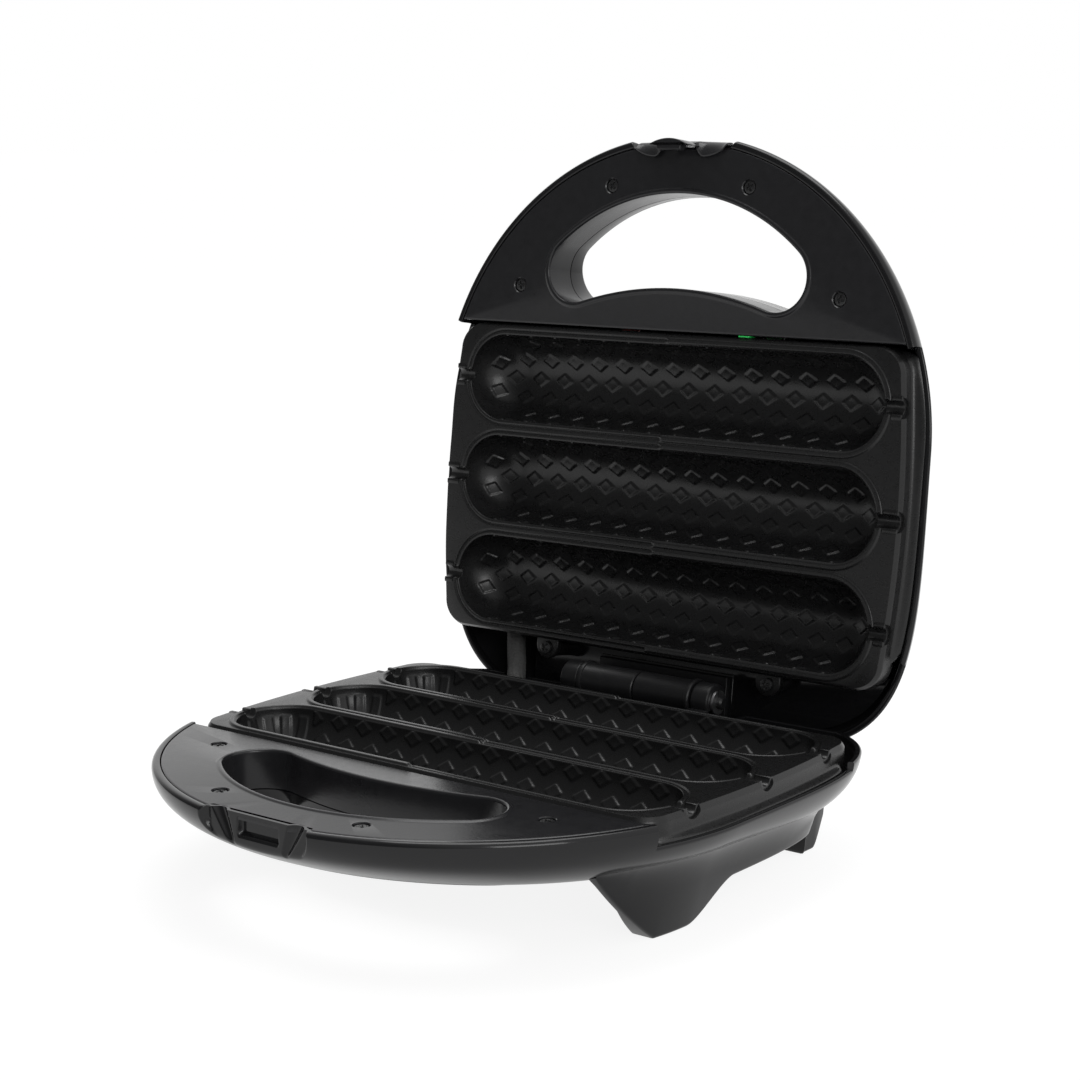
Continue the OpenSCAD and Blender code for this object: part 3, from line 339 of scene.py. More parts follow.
def recess_reach(x, z, pocket):
    """How far forward the front may reach: flat in the U, rising by recess_slope outside it."""
    half, low, high, depth, scoop, ramp = pocket
    past_x = np.abs(x) - (recess_hw - recess_corner)
    past_z = recess_corner - recess_h - z
    outside = np.hypot(np.clip(past_x, 0, None), np.clip(past_z, 0, None)) - recess_corner
    outside = outside + np.minimum(np.maximum(past_x, past_z), 0)
    edge = np.minimum(half - np.abs(x), high - z)
    groove = depth * ease(edge / 1.1 + 0.5) * ease((z - low) / ramp)
    return recess_s + recess_slope * np.clip(outside, 0, None) - thumb_scoop(x, z, scoop) - groove


def shell_grid(steps, pocket):
    """Points (column, row): outer face from the middle to the rim, the rim, and back inside."""
    angle, cut = half_columns(steps)
    edge = outline_radius(angle)
    factor = deepen(body_c + edge * np.sin(angle))
    front = cut == 0

    def section_start(depth):
        """Section angle at which the shoulder has this depth."""
        share = np.clip((depth / factor - bulge) / shoulder_h, 0, 1)
        return np.arcsin(share ** (section_power / 2))

    lip = 0.9
    power = 2 / section_power
    rows_r, rows_z = [], []

    def add(radius, level, lift=0.0, scaled=True):
        """One row of the section; scaled rows get the depth factor of their own place."""
        s = body_c + radius * np.sin(angle)
        rows_r.append(radius)
        rows_z.append(level * deepen(s) + lift if scaled else np.broadcast_to(level, radius.shape) + lift)

    for u in np.linspace(1, 0, 7)[:-1]:
        add((edge - shoulder_w) * (1 - u), -(bulge + shoulder_h + dome_h * (1 - (1 - u) ** 2)))
    start = np.where(front, 0, section_start(cut + lip))
    for t in np.linspace(0, 1, 62):
        turn = np.pi / 2 + (start - np.pi / 2) * t
        add(edge - shoulder_w * (1 - np.cos(turn) ** power), -(bulge + shoulder_h * np.sin(turn) ** power))
    top_inset = shoulder_w * (1 - np.cos(start) ** power)
    for t in np.linspace(np.pi / 2, 0, 7)[1:]:
        inset = np.where(front, rim_inset * (1 - np.sin(t)), top_inset + lip * (1 - np.sin(t)))
        level = np.where(front, -bulge * factor * (1 - np.cos(t)), -cut - lip * (1 - np.cos(t)))
        add(edge - inset, level, scaled=False)
    outer_rows = len(rows_r)
    inner_edge = np.where(front, frame_r + fit, edge - top_inset - wall)
    for inset, drop in ((0.45, 0.0), (0.12, 0.12), (0.0, 0.45), (0.0, 2.4)):
        add(inner_edge + inset, -cut - drop, scaled=False)
    inner_start = np.where(front, section_start(np.full_like(cut, 4.5)), section_start(cut + 3))
    for t in np.linspace(0, 1, 20):
        turn = inner_start + (np.pi / 2 - inner_start) * t
        down = np.sin(turn) ** power
        add(edge - wall - (shoulder_w - wall) * (1 - np.cos(turn) ** power), -(bulge + shoulder_h * down),
            wall * down)
    for u in np.linspace(0, 1, 5)[1:]:
        add((edge - shoulder_w) * (1 - u), -(bulge + shoulder_h + dome_h * (1 - (1 - u) ** 2)), wall)
    radius, z = np.stack(rows_r, 1), np.stack(rows_z, 1)
    x = radius * np.cos(angle)[:, None]
    s = body_c + radius * np.sin(angle)[:, None]
    reach = recess_reach(x, z, pocket)
    plain = recess_reach(x, z, (*pocket[:3], 0, 0, 1))
    hollow = plain - np.where(z > -3, 0.3, pocket[3] + 2.5) - pocket[4]
    near = (s > front_s - 40) & (np.abs(x) < 40)
    outer = np.arange(radius.shape[1]) < outer_rows
    dented = np.where(outer, soft_min(s, reach, 1.3), np.minimum(s, hollow))
    s = np.where(near, dented, s)
    right = np.stack([x, s, z], -1)
    left = right[-2:0:-1] * np.array([-1, 1, 1])
    return np.concatenate([right, left])


def shell_skin(steps, pocket):
    """The closed skin of a shell: its grid closes on itself round the outline."""
    grid = shell_grid(steps, pocket)
    return grid.reshape(-1, 3), quads(grid.shape[0], grid.shape[1], close_rows=True)


lid_steps = [(seam_s, 7.5), (side_rear_s, 11.0)]
print("shell grid:", shell_grid(lid_steps, lid_pocket).shape)

# %% [markdown]
# The hand hole is bean-shaped: an outer arc, two round lobes and a low hump, all tangent. Moving
# the loop outwards only changes the radii of these arcs, so loops of different size match point
# by point, and a profile can be carried round the hole.

# %% Loops of the hand hole and the handle frame
hole_r, hole_c, lobe_r, lobe_x, hole_mid_s = 85.3, 108.6, 13.0, 47.6, 157.4
frame_mid_s, tiny, far_off = 172.0, 1e-6, 1e9
lobe_s = hole_c + np.sqrt((hole_r - lobe_r) ** 2 - lobe_x ** 2)
hump_c = (lobe_x ** 2 + lobe_s ** 2 - (hole_mid_s + lobe_r) ** 2) / (2 * (lobe_s - hole_mid_s - lobe_r))
hump_r = hole_mid_s - hump_c
lobe_turn, hump_turn = np.arctan2(lobe_s - hole_c, lobe_x), np.arctan2(lobe_s - hump_c, lobe_x)


def hole_loop(grow):
    """The hole's loop moved outwards by grow: arcs of radius + grow, the hump's radius - grow."""
    arcs = ((0, hole_c, hole_r + grow, lobe_turn, np.pi - lobe_turn, 130),
            (-lobe_x, lobe_s, lobe_r + grow, np.pi - lobe_turn, 2 * np.pi - hump_turn, 56),
            (0, hump_c, hump_r - grow, np.pi - hump_turn, hump_turn, 90),
            (lobe_x, lobe_s, lobe_r + grow, np.pi + hump_turn, 2 * np.pi + lobe_turn, 56))
    loops = []
    for x, s, radius, start, end, count in arcs:
        turn = np.linspace(start, end, count + 1)[1:]
        loops.append(np.column_stack([x + radius * np.cos(turn), s + radius * np.sin(turn)]))
    return np.concatenate(loops)


def frame_loop(inset, scoop):
    """The frame's outer loop, seen from a point in the hole: the nearest of arc, chord and recess."""
    middle = np.array([0.0, frame_mid_s])
    way = hole_loop(0) - middle
    way = way / np.linalg.norm(way, axis=1, keepdims=True)
    radius, chord = frame_r - inset, seam_s + fit + inset
    along = way[:, 1] * (frame_mid_s - body_c)
    reach = np.sqrt(along ** 2 + radius ** 2 - (frame_mid_s - body_c) ** 2) - along
    down = np.where(way[:, 1] < -tiny, (frame_mid_s - chord) / np.maximum(-way[:, 1], tiny), far_off)
    flat_s = recess_s - fit - inset
    flat = np.where(way[:, 1] > tiny, (flat_s - frame_mid_s) / np.maximum(way[:, 1], tiny), far_off)
    flat = np.where(np.abs(flat * way[:, 0]) < recess_hw + fit, flat, far_off)
    loop = middle + way * np.minimum(np.minimum(reach, down), flat)[:, None]
    at_recess = (np.abs(loop[:, 0]) < recess_hw + 1.5) & (loop[:, 1] > frame_mid_s)
    scooped = flat_s - thumb_scoop(loop[:, 0], 0.0, scoop)
    loop[:, 1] = np.where(at_recess, np.minimum(loop[:, 1], scooped), loop[:, 1])
    for side in (-1, 1):
        corner = np.array([side * np.sqrt(radius ** 2 - (chord - body_c) ** 2), chord])
        loop[np.argmin(np.linalg.norm(loop - corner, axis=1))] = corner
    return loop


def carried(rows, closed=True):
    """A skin through rows of (loop, height); the rows close on themselves for a ring."""
    points = np.stack([np.column_stack([loop, np.broadcast_to(height, len(loop))]) for loop, height in rows])
    return points.reshape(-1, 3), quads(len(rows), points.shape[1], close_rows=closed, close_cols=True)


print("hand hole:", np.ptp(hole_loop(0), axis=0).round(1), "mm")

# %% [markdown]
# Now the shells are put together. The hand hole is cut through the skin, and a collar with a
# rolled edge lines the cut, as the moulding does. The base also has a shelf and a bulkhead at the
# rear, which the lid swings over, a collar for the cord inlet and posts for the screws.

# %% Parts of the shells
sleeve_h, lug_x, lug_s, lug_z = 14.0, 53.4, 9.0, 5.7


def hole_collar():
    """A ring round the hand hole: rolled edge on the outer face, straight wall up to the sleeve."""
    rows = []
    for grow, sink in ((3.4, 0.25), (2.6, -0.12), (1.6, -0.2), (0.8, -0.02), (0.25, 0.45), (0.0, 1.2)):
        loop = hole_loop(grow)
        rows.append((loop, sink - shell_depth(*loop.T)))
    rows += [(hole_loop(0), -sleeve_h - 0.2), (hole_loop(1.9), -sleeve_h - 0.2), (hole_loop(2.1), -8),
             (hole_loop(4.0), -8)]
    loop = hole_loop(4.0)
    rows.append((loop, 1.5 - shell_depth(*loop.T)))
    return carried(rows)


def post(x, s, radius, top):
    """An upright post from the shell's inner face to its top."""
    return lathe(rod(radius, 1 - float(shell_depth(x, s)), top, 0.5), "z", (x, s), 40)


def hole_cutter():
    """A prism a little wider than the hole, through the shell's floor."""
    return slab(hole_loop(2.4), -60, -4, 0.1)


shelf_z, stop_s, bay_hw, bay_s, rear_wall = -18.2, -9.5, 42.0, 10.5, 2.0
notch_x, notch_hw, notch_z, wall_top = -70.0, 6.0, -9.0, -4.7
panel_s, panel_x, panel_low, panel_high = 12.0, -66, -16.8, -15.3
inlet_r, inlet_spot = 5.75, (0, -25.8)
rear_x = float(np.cos(side_angle(stop_s)) * outline_radius(side_angle(stop_s)))


def bulkhead():
    """The rear wall of the base in plan, round the bay of the hinge, with a notch for the lead."""
    right = [(bay_hw, bay_s), (bay_hw, stop_s), (rear_x, stop_s), (rear_x, stop_s + rear_wall),
             (bay_hw + rear_wall, stop_s + rear_wall), (bay_hw + rear_wall, bay_s + rear_wall)]
    left = [(-x, s) for x, s in right[::-1]]
    notched = [(max(x, notch_x + notch_hw), s) for x, s in left]
    corner = [(-rear_x, stop_s), (notch_x - notch_hw, stop_s), (notch_x - notch_hw, stop_s + rear_wall),
              (-rear_x, stop_s + rear_wall)]
    return [slab(right + left, shelf_z - 2, notch_z, 0.05), slab(right + notched, notch_z - 1, wall_top, 0.5),
            slab(corner, notch_z - 1, wall_top, 0.5)]


def rear_arc(s, inset):
    """The shell's outline behind s, from right to left, moved in towards its centre."""
    turn = np.linspace(side_angle(s), -np.pi - side_angle(s), 60)
    radius = outline_radius(turn) - inset
    return np.column_stack([radius * np.cos(turn), body_c + radius * np.sin(turn)])


def shelf():
    """The flat floor behind the bulkhead, cut to the shell's own outline."""
    half, back, front = bay_hw + 1, stop_s + 1, bay_s + 1
    bay = [(-half, back), (-half, front), (half, front), (half, back)]
    return slab(np.concatenate([rear_arc(back, 6), bay]), shelf_z - 2.4, shelf_z, 0.3)


def lid_panel():
    """The flat floor of the lid behind the plate, with a notch for the lead."""
    arc = rear_arc(panel_s, 8)
    arc = arc[arc[:, 0] > panel_x]
    side = [(panel_x, arc[-1, 1]), (panel_x, panel_s)]
    return slab(np.concatenate([arc, side]), panel_low, panel_high, 0.2)


def inlet_collar():
    """The tube of the cord inlet: a ring profile turned about an axis along s."""
    profile = [(inlet_r, 12), (inlet_r, -12.2), (6.1, -12.5), (7.1, -12.5), (7.55, -12.1), (7.55, 12)]
    return lathe(profile, "s", inlet_spot, 64, closed=True)


print("bulkhead reaches x", round(rear_x, 1))

# %% Build the shells
base_steps = [(seam_s, 7.5), (side_rear_s, 4.7), (stop_s, -shelf_z)]
base_shell = build("base_bowl", [shell_skin(base_steps, base_pocket)], on_base)
carve(base_shell, [hole_cutter(), lathe(rod(inlet_r + 0.01, -30, 14, 0.1), "s", inlet_spot)], on_base)
lid_shell = build("lid_dome", [shell_skin(lid_steps, lid_pocket)], on_lid)
lens_x, lens_s = 34.7, 143.2
lens_holes = [lathe(rod(3.85, -40, -15, 0.1), "z", (x, lens_s)) for x in (-lens_x, lens_x)]
carve(lid_shell, [hole_cutter()] + lens_holes, on_lid)
posts = [post(side * lug_x, lug_s, 4.0, -lug_z - 2.6) for side in (-1, 1)]
base_collar = build("base_hole_collar", [hole_collar()], on_base)
base_housing = build("base_rear_floor", [shelf(), inlet_collar()] + posts, on_base)
base_wall = build("base_bulkhead", bulkhead(), on_base)
lid_block = brick((-32, -9, -26), (32, 9, -15.1), 0.6)
lid_fittings = build("lid_inner_walls", [hole_collar(), lid_block, lid_panel()] + posts, on_lid)
print("shell faces:", len(base_shell.data.polygons), len(lid_shell.data.polygons))

# %% [markdown]
# The side rails carry the four feet. On the real base they run down from the bowl with a soft
# fillet. Each rail is a loft along s: its section starts on the bowl, rounds into the outer wall,
# goes round the lower edge and back up the inner wall. Fillets are quadratic curves whose middle
# control point is the sharp corner.

# %% Rails and feet
plane_h, rail_clear = 47.0, 13.0
rail_top_inset, foot_inset, foot_t, rail_t = 13.0, 21.0, 10.0, 4.0
rail_front, foot_front, foot_rear, knee = 150.0, 120.0, 104.0, 23.0
heel_front, heel_rear, heel_slope, tail_slope, tail_rise, rail_bend = 13.0, 5.5, 5.0, 7.0, 14.0, 12.0


def outline_x(s, inset):
    """Half the width of the inset outline at s: circle in front, superellipse behind."""
    ahead = np.sqrt(np.clip((body_r - inset) ** 2 - (s - body_c) ** 2, 0, None))
    back = np.clip((body_c - s) / (rear_r - inset / 2), 0, 1) ** rear_power
    behind = (body_r - inset) * np.clip(1 - back, 0, None) ** (1 / rear_power)
    return np.where(s >= body_c, ahead, behind)


def rail_lift(s):
    """Height of the rail's lower edge: ramps in front, flat feet, an S-curve and a level run."""
    root = plane_h - shell_depth(outline_x(rail_front, rail_top_inset), rail_front)
    ramp = (s - foot_front) / (rail_front - foot_front)
    ahead = root * (0.72 * ramp + 0.28 * ramp ** 2)
    knee_part = rail_clear * ease((foot_rear - s) / knee)
    heel_part = rail_clear * ease((s - heel_front) / heel_slope)
    tail_part = tail_rise * ease((heel_rear - s) / tail_slope)
    level = np.minimum(knee_part, heel_part)
    return np.where(s > foot_front, ahead, np.where(s > heel_rear, level, tail_part))


def bend(a, b, c, count):
    """Quadratic curve from a to c with control point b, in count steps."""
    t = np.linspace(0, 1, count)[:, None, None]
    return (1 - t) ** 2 * a + 2 * t * (1 - t) * b + t ** 2 * c


def rail(side):
    """Loft of rail sections along s."""
    stops = (rail_front - 0.4, foot_front, foot_rear, foot_rear - knee, heel_front + heel_slope, heel_rear,
             heel_rear - heel_slope)
    runs = [np.linspace(*run)[1:] for run in zip(stops[:-1], stops[1:], (60, 24, 40, 30, 26, 14))]
    s = np.concatenate([stops[:1]] + runs)
    held = np.maximum(s, rail_bend)
    top_x = outline_x(held, rail_top_inset + 6 * ease((30 - s) / 15))
    root = -shell_depth(top_x, s)
    low = rail_lift(s) - plane_h
    height = np.maximum(root - low, 0.02)
    share = (root - low) / (root + plane_h)
    low_x = top_x + (outline_x(held, foot_inset) - top_x) * share
    thick = foot_t + (rail_t - foot_t) * np.clip(rail_lift(s) / rail_clear, 0, 1)
    soft = 2.0 + 5.0 * ease((s - 20) / 40)
    blend_x = np.minimum(soft, 0.8 * height)
    down = np.minimum(1.3 * soft, 0.7 * height)

    def spot(x, z):
        """A line of points along s."""
        return np.stack([x, s, z], -1)

    def bowl(x, sink):
        """A line on the bowl's outer face, sunk into it."""
        return spot(x, sink - shell_depth(x, s))

    def on_wall(inset, depth):
        """A line on the outer wall at a depth below its root, moved in."""
        ratio = depth / height
        return spot(top_x + (low_x - top_x) * ratio - inset, root - depth)

    edge = np.minimum(1.4, 0.3 * height)
    outer = bend(bowl(top_x + blend_x, 0.15), spot(top_x, root), on_wall(0, down), 9)
    outer_low = bend(on_wall(0, height - edge), on_wall(0, height), on_wall(edge, height), 6)
    inner_low = bend(on_wall(thick - edge, height), on_wall(thick, height), on_wall(thick, height - edge), 6)
    inner = bend(on_wall(thick, down), bowl(top_x - thick, 0.0), bowl(top_x - thick - blend_x, 0.15), 9)
    loft = np.concatenate([outer, outer_low, inner_low, inner])
    loft = loft * np.array([side, 1, 1])
    rows, cols = loft.shape[:2]
    return loft.reshape(-1, 3), quads(rows, cols, close_rows=True) + end_caps(rows, cols)


rails = build("base_side_rails", [rail(1), rail(-1)], on_base, angle=50)
print("rails stand on z", round(min(v.co.z for v in rails.data.vertices), 5))

# %% [markdown]
# The handle frames are satin covers with a rounded lip round the hand hole and a sleeve that
# lines it. One profile is carried from the sleeve over the lip to the outer edge and back
# underneath, between the hole's loops and the frame's loops. Four screws sit in counterbores.

# %% Handle frames
frame_t = 2.4
screw_spots = [(side * x, s) for side in (-1, 1) for x, s in ((32.2, 196.6), (75.4, 156.0))]


def frame_skin(scoop):
    """Rows: sleeve, raised round lip, flat top, round outer edge, underside, outside of the sleeve."""
    rows = [(hole_loop(grow), z) for grow, z in (
        (0.25, -sleeve_h), (0.0, -sleeve_h + 0.25), (0.0, -6), (0.0, -0.6), (0.05, -0.1), (0.25, 0.3),
        (0.6, 0.52), (1.1, 0.6), (1.6, 0.5), (1.95, 0.28), (2.2, 0.08), (2.6, 0.0))]
    rows += [(frame_loop(inset, scoop), z) for inset, z in (
        (0.9, 0.0), (0.45, -0.07), (0.12, -0.3), (0.0, -0.7), (0.0, -frame_t))]
    rows += [(hole_loop(grow), z) for grow, z in ((1.8, -frame_t), (1.8, -sleeve_h + 0.25), (1.5, -sleeve_h))]
    return carried(rows)


def counterbores():
    """Stepped cutters with a flared mouth, one for each screw."""
    profile = [(0, -4), (1.65, -4), (1.65, -1.5), (2.85, -1.5), (2.85, -0.35), (3.25, 0.05), (3.25, 2),
               (0, 2)]
    return [lathe(profile, "z", spot, 40) for spot in screw_spots]


frames = {}
for half, place, scoop in (("base", on_base, scoop_depth), ("lid", on_lid, 0)):
    frames[half] = build(half + "_handle_cover", [frame_skin(scoop)], place)
    carve(frames[half], counterbores(), place)
    print(frames[half].name, len(frames[half].data.polygons), "faces")

# %% [markdown]
# Cross-head screws: each head is a height field over a disc, r by angle. The cross is a smooth
# trench along two bars, so its walls lean like a driver's tip.

# %% Screws
screw_count, shank_r = 80, 1.4


def screw(x, s, base, head_h, radius, length, turn):
    """A low dome with a cross trench, then the head's side, the underside and the shank."""
    r = np.concatenate([np.linspace(0, 0.92, 26), [0.97, 0.995, 1.0]]) * radius
    angle = np.linspace(0, 2 * np.pi, screw_count, endpoint=False)
    a, b = r[:, None] * np.cos(angle), r[:, None] * np.sin(angle)
    u = np.abs(a * np.cos(turn) + b * np.sin(turn))
    v = np.abs(b * np.cos(turn) - a * np.sin(turn))
    bar, arm = 0.17 * radius, 0.66 * radius
    trench = ease((bar - np.minimum(u, v)) / 0.22 + 0.5) * ease((arm - np.maximum(u, v)) / 0.3 + 0.5)
    dome = -0.18 * (r[:, None] / radius) ** 2 - 0.3 * np.clip(r[:, None] / radius - 0.93, 0, None) * 4
    z = base + head_h + dome - 0.75 * trench
    skin = [np.stack([x + a, s + b, z], -1)]
    tip = base - length
    for ring, height in ((radius, base), (shank_r, base), (shank_r, tip), (0.0, tip - 0.8)):
        level = np.full(screw_count, height)
        skin.append(np.stack([x + ring * np.cos(angle), s + ring * np.sin(angle), level], -1)[None])
    grid = np.concatenate(skin)
    return grid.reshape(-1, 3), quads(grid.shape[0], screw_count, close_cols=True)


screws = {}
for half, place, turns in (("base", on_base, (0.3, 1.1, 0.7, 0.1)), ("lid", on_lid, (0.9, 0.2, 0.5, 1.3))):
    heads = [screw(x, s, -1.5, 1.15, 2.4, 7.5, turn) for (x, s), turn in zip(screw_spots, turns)]
    screws[half + "_handle_screws"] = build(half + "_cover_screws", heads, place)
    lugs = [screw(side * lug_x, lug_s, -lug_z, 1.5, 2.6, 8, turn) for side, turn in zip((-1, 1), turns)]
    screws[("lower" if half == "base" else "upper") + "_lug_screws"] = build(half + "_lug_bolts", lugs, place)
print("screw pieces:", sorted(screws))

# %% [markdown]
# The cooking plates are castings with a non-stick coat. Each has a flat deck with a bevelled
# edge, three half-round cavities with raised lozenge pads, and channels for the sticks. A cavity
# is a stack of stadium rings: the plan direction goes round the stadium, and the section runs
# from the outside of the tub over the rim and down into the cavity. The left ends of the lower
# cavities have upright ribs instead of pads.

# %% Deck of a plate
plate_hw, plate_bulge, plate_rear_s, plate_front_s, plate_corner = 108.0, 4.5, 13.1, 139.9, 11.0
plate_mid, plate_half = (plate_front_s + plate_rear_s) / 2, (plate_front_s - plate_rear_s) / 2
cavity_r, cavity_hx, cavity_pitch, deck_z = 17.5, 80.5, 41.4, 0.5
rim_in, tub_r, channel_r, channel_out, channel_start = 3.3, 20.0, 2.5, 4.5, 101.1
cavity_spots = {"rear": plate_mid - cavity_pitch, "middle": plate_mid, "front": plate_mid + cavity_pitch}


def plate_side(s):
    """Half the width of the plate: a shallow parabola."""
    return plate_hw - plate_bulge * ((s - plate_mid) / plate_half) ** 2


def plate_loop(inset):
    """Plan of the plate moved in by inset: bulged sides and round corners."""
    s = np.linspace(plate_rear_s + plate_corner, plate_front_s - plate_corner, 48)[1:-1]
    turn = np.linspace(0, np.pi / 2, 14)
    radius = plate_corner - inset
    near, far = plate_rear_s + plate_corner, plate_front_s - plate_corner
    side = np.column_stack([plate_side(s) - inset, s])
    corner_x = plate_side(far) - plate_corner
    ahead = np.column_stack([corner_x + radius * np.cos(turn), far + radius * np.sin(turn)])
    behind = np.column_stack([corner_x + radius * np.sin(turn), near - radius * np.cos(turn)])
    right = np.concatenate([behind, side, ahead])
    return np.concatenate([right, right[::-1] * np.array([-1, 1])])


def deck():
    """Rows: top edge, bevel, flange, a lip along the sides that covers the gap to the rim, underside."""
    levels = ((1.5, 0, deck_z), (1.1, 0, 0.42), (0.25, 0, -0.9), (0.05, 0, -1.3), (0.0, 0, -1.8),
              (0.0, 0, -5.0), (0.0, 0.1, -5.7), (0.0, 0.3, -6.15), (0.0, 0.6, -6.6), (0.0, 0.9, -7.0),
              (0.0, 1.0, -7.3), (0.0, 1.0, -8.3), (0.2, 0.9, -8.5), (1.7, 0, -8.5), (2.0, 0, -8.2),
              (2.0, 0, -1.9))
    rows = []
    for inset, lip, z in levels:
        loop = plate_loop(inset)
        level_run = ease((loop[:, 1] - 24) / 4) * ease((140 - loop[:, 1]) / 4)
        room = np.clip(outline_x(loop[:, 1], rim_in) - np.abs(loop[:, 0]), 0, None)
        out = np.sign(loop[:, 0]) * lip * room * level_run
        rows.append((loop + np.column_stack([out, np.zeros(len(loop))]), z))
    points, faces = carried(rows, closed=False)
    count = len(plate_loop(0))
    faces.append(list(range(count)))
    faces.append(list(range(count * (len(levels) - 1), count * len(levels)))[::-1])
    return points, faces


def stadium(radius, s, count=40):
    """Loop of a stadium along x."""
    turn = np.linspace(-np.pi / 2, np.pi / 2, count)
    right = np.column_stack([cavity_hx + radius * np.cos(turn), s + radius * np.sin(turn)])
    return np.concatenate([right, right[::-1] * np.array([-1, 1])])


def channel_tube(side, s):
    """A half tube for the stick: inner arc, round lips and outer arc, carried along x."""
    turn = np.linspace(np.pi, 2 * np.pi, 19)
    inner = np.column_stack([channel_r * np.cos(turn), deck_z + channel_r * np.sin(turn)])
    outer = np.column_stack([channel_out * np.cos(turn), deck_z + channel_out * np.sin(turn)])[::-1]
    lip = np.array([(2.7, 0.14), (3.2, 0.2), (4.0, 0.16), (4.4, 0.02)]) + np.array([0, deck_z])
    loop = np.concatenate([inner, lip, outer, lip[::-1] * np.array([-1, 1])])
    end = float(plate_side(s)) - 0.9
    return slab(loop + np.array([s, 0]), *sorted((side * channel_start, side * end)), 0.12, axis="x", steps=3)


def lug(side):
    """The rear lug that takes a screw."""
    turn = np.linspace(np.pi, 2 * np.pi, 25)
    x, radius = side * lug_x, 5.5
    round_end = np.column_stack([x + radius * np.cos(turn), lug_s + 1 + radius * np.sin(turn)])
    straight = [(x + radius, plate_rear_s + 1.5), (x - radius, plate_rear_s + 1.5)]
    return slab(np.concatenate([round_end, straight]), -lug_z - 2.5, -lug_z, 0.5)


print("plate:", np.ptp(plate_loop(0), axis=0).round(1), "mm")

# %% Cavities
pad_pitch, pad_row, pad_half_x, pad_half_y, pad_h = 12.38, np.radians(26.5), 4.0, 3.1, 0.5
pad_reach, pad_edge, rib_turn, rib_half, rib_edge = 2.47, 0.3, 0.42, 1.9, 0.6
run_count, end_count = 360, 108


def ring_plan():
    """Round the stadium: anchor on the spine and outward direction, sides then round ends."""
    run = np.linspace(-cavity_hx, cavity_hx, run_count)
    turn = np.linspace(np.pi / 2, -np.pi / 2, end_count + 2)[1:-1]
    end, across = np.full(end_count, cavity_hx), np.full(run_count, np.pi / 2)
    anchor = np.concatenate([run, end, run[::-1], -end])
    angle = np.concatenate([across, turn, -across, turn - np.pi])
    return anchor, np.cos(angle), np.sin(angle)


def pads(anchor, out_x, out_s, dip, ribs):
    """Height of the raised pads at section angle dip, measured up from the cavity's lowest line.
    Along the cavity the lattice has the pad pitch; round it, a row every 26.5 degrees, staggered."""
    latitude = np.arcsin(np.clip(out_x * np.sin(dip), -1, 1))
    along = anchor + cavity_r * latitude
    around = np.arctan2(out_s * np.sin(dip), np.cos(dip))
    row = np.round(around / pad_row)
    shift = 0.5 * (np.abs(row) % 2)
    last = np.choose(np.abs(row).astype(int).clip(0, 3), (7.0, 7.5, 6.0, 6.5))
    step = np.clip(np.round(along / pad_pitch - shift) + shift, -last, last)
    off_x = np.abs(along - step * pad_pitch) / pad_half_x
    off_y = np.abs(around - row * pad_row) * cavity_r * np.cos(latitude) / pad_half_y
    gap = (1 - off_x - off_y) * pad_reach
    lozenge = np.clip(gap / pad_edge + 0.5, 0, 1)
    if ribs == 0:
        return pad_h * lozenge
    azimuth = np.arctan2(out_s, ribs * out_x)
    rib = np.abs(azimuth - np.round(azimuth / rib_turn) * rib_turn) * cavity_r * np.sin(dip)
    upright = ease((rib_half - rib) / rib_edge + 0.5) * ease((dip - 0.62) / 0.06) * ease((1.42 - dip) / 0.06)
    at_end = ribs * out_x > 0.05
    return pad_h * np.where(at_end, upright, lozenge)


def cavity(s_mid, bead_side, bead_h, ribs):
    """Stadium rings from the tub's foot, up outside, over the rim and down to the cavity's floor."""
    anchor, out_x, out_s = ring_plan()
    rows = []

    def add(radius, z):
        """One ring: anchor + radius times the outward direction, opened where a channel enters."""
        radius = np.broadcast_to(radius, anchor.shape)
        x, s = anchor + radius * out_x, radius * out_s
        trough = deck_z - np.sqrt(np.clip(channel_r ** 2 - s ** 2, 0, None))
        z = np.where((np.abs(x) > 96.8) & (np.abs(s) < channel_r), np.minimum(z, trough), z)
        rows.append(np.stack([x, s_mid + s, z], -1))

    tub = [(tub_r * np.sin(dip), deck_z - tub_r * np.cos(dip)) for dip in np.linspace(0, np.radians(78), 7)]
    for radius, z in tub + [(tub_r + 0.6, -3.2)]:
        rows.append(np.stack([anchor + radius * out_x, s_mid + radius * out_s, np.full_like(anchor, z)], -1))
    raised = ease((bead_side * anchor) / 2.0 + 0.5)
    for out in (3.1, 2.95, 2.7, 2.4, 2.1, 1.8, 1.5, 1.2, 0.95, 0.7):
        bead = bead_h * ease((3.05 - out) / 0.7) * ease((out - 0.3) / 0.7)
        groove = -0.6 * ease((0.55 - np.abs(out - 1.9)) / 0.4)
        add(cavity_r + out, deck_z + 0.03 + raised * bead + (1 - raised) * groove)
    for turn in np.linspace(0, np.pi / 2, 5)[1:]:
        add(cavity_r + 0.45 * (1 - np.sin(turn)), deck_z + 0.03 - 0.45 * (1 - np.cos(turn)))
    for dip in np.linspace(np.pi / 2 - 0.03, 0, 62):
        radius = cavity_r - pads(anchor, out_x, out_s, dip, ribs)
        add(radius * np.sin(dip), deck_z - radius * np.cos(dip))
    grid = np.stack(rows)
    return grid.reshape(-1, 3), quads(grid.shape[0], grid.shape[1], close_cols=True)


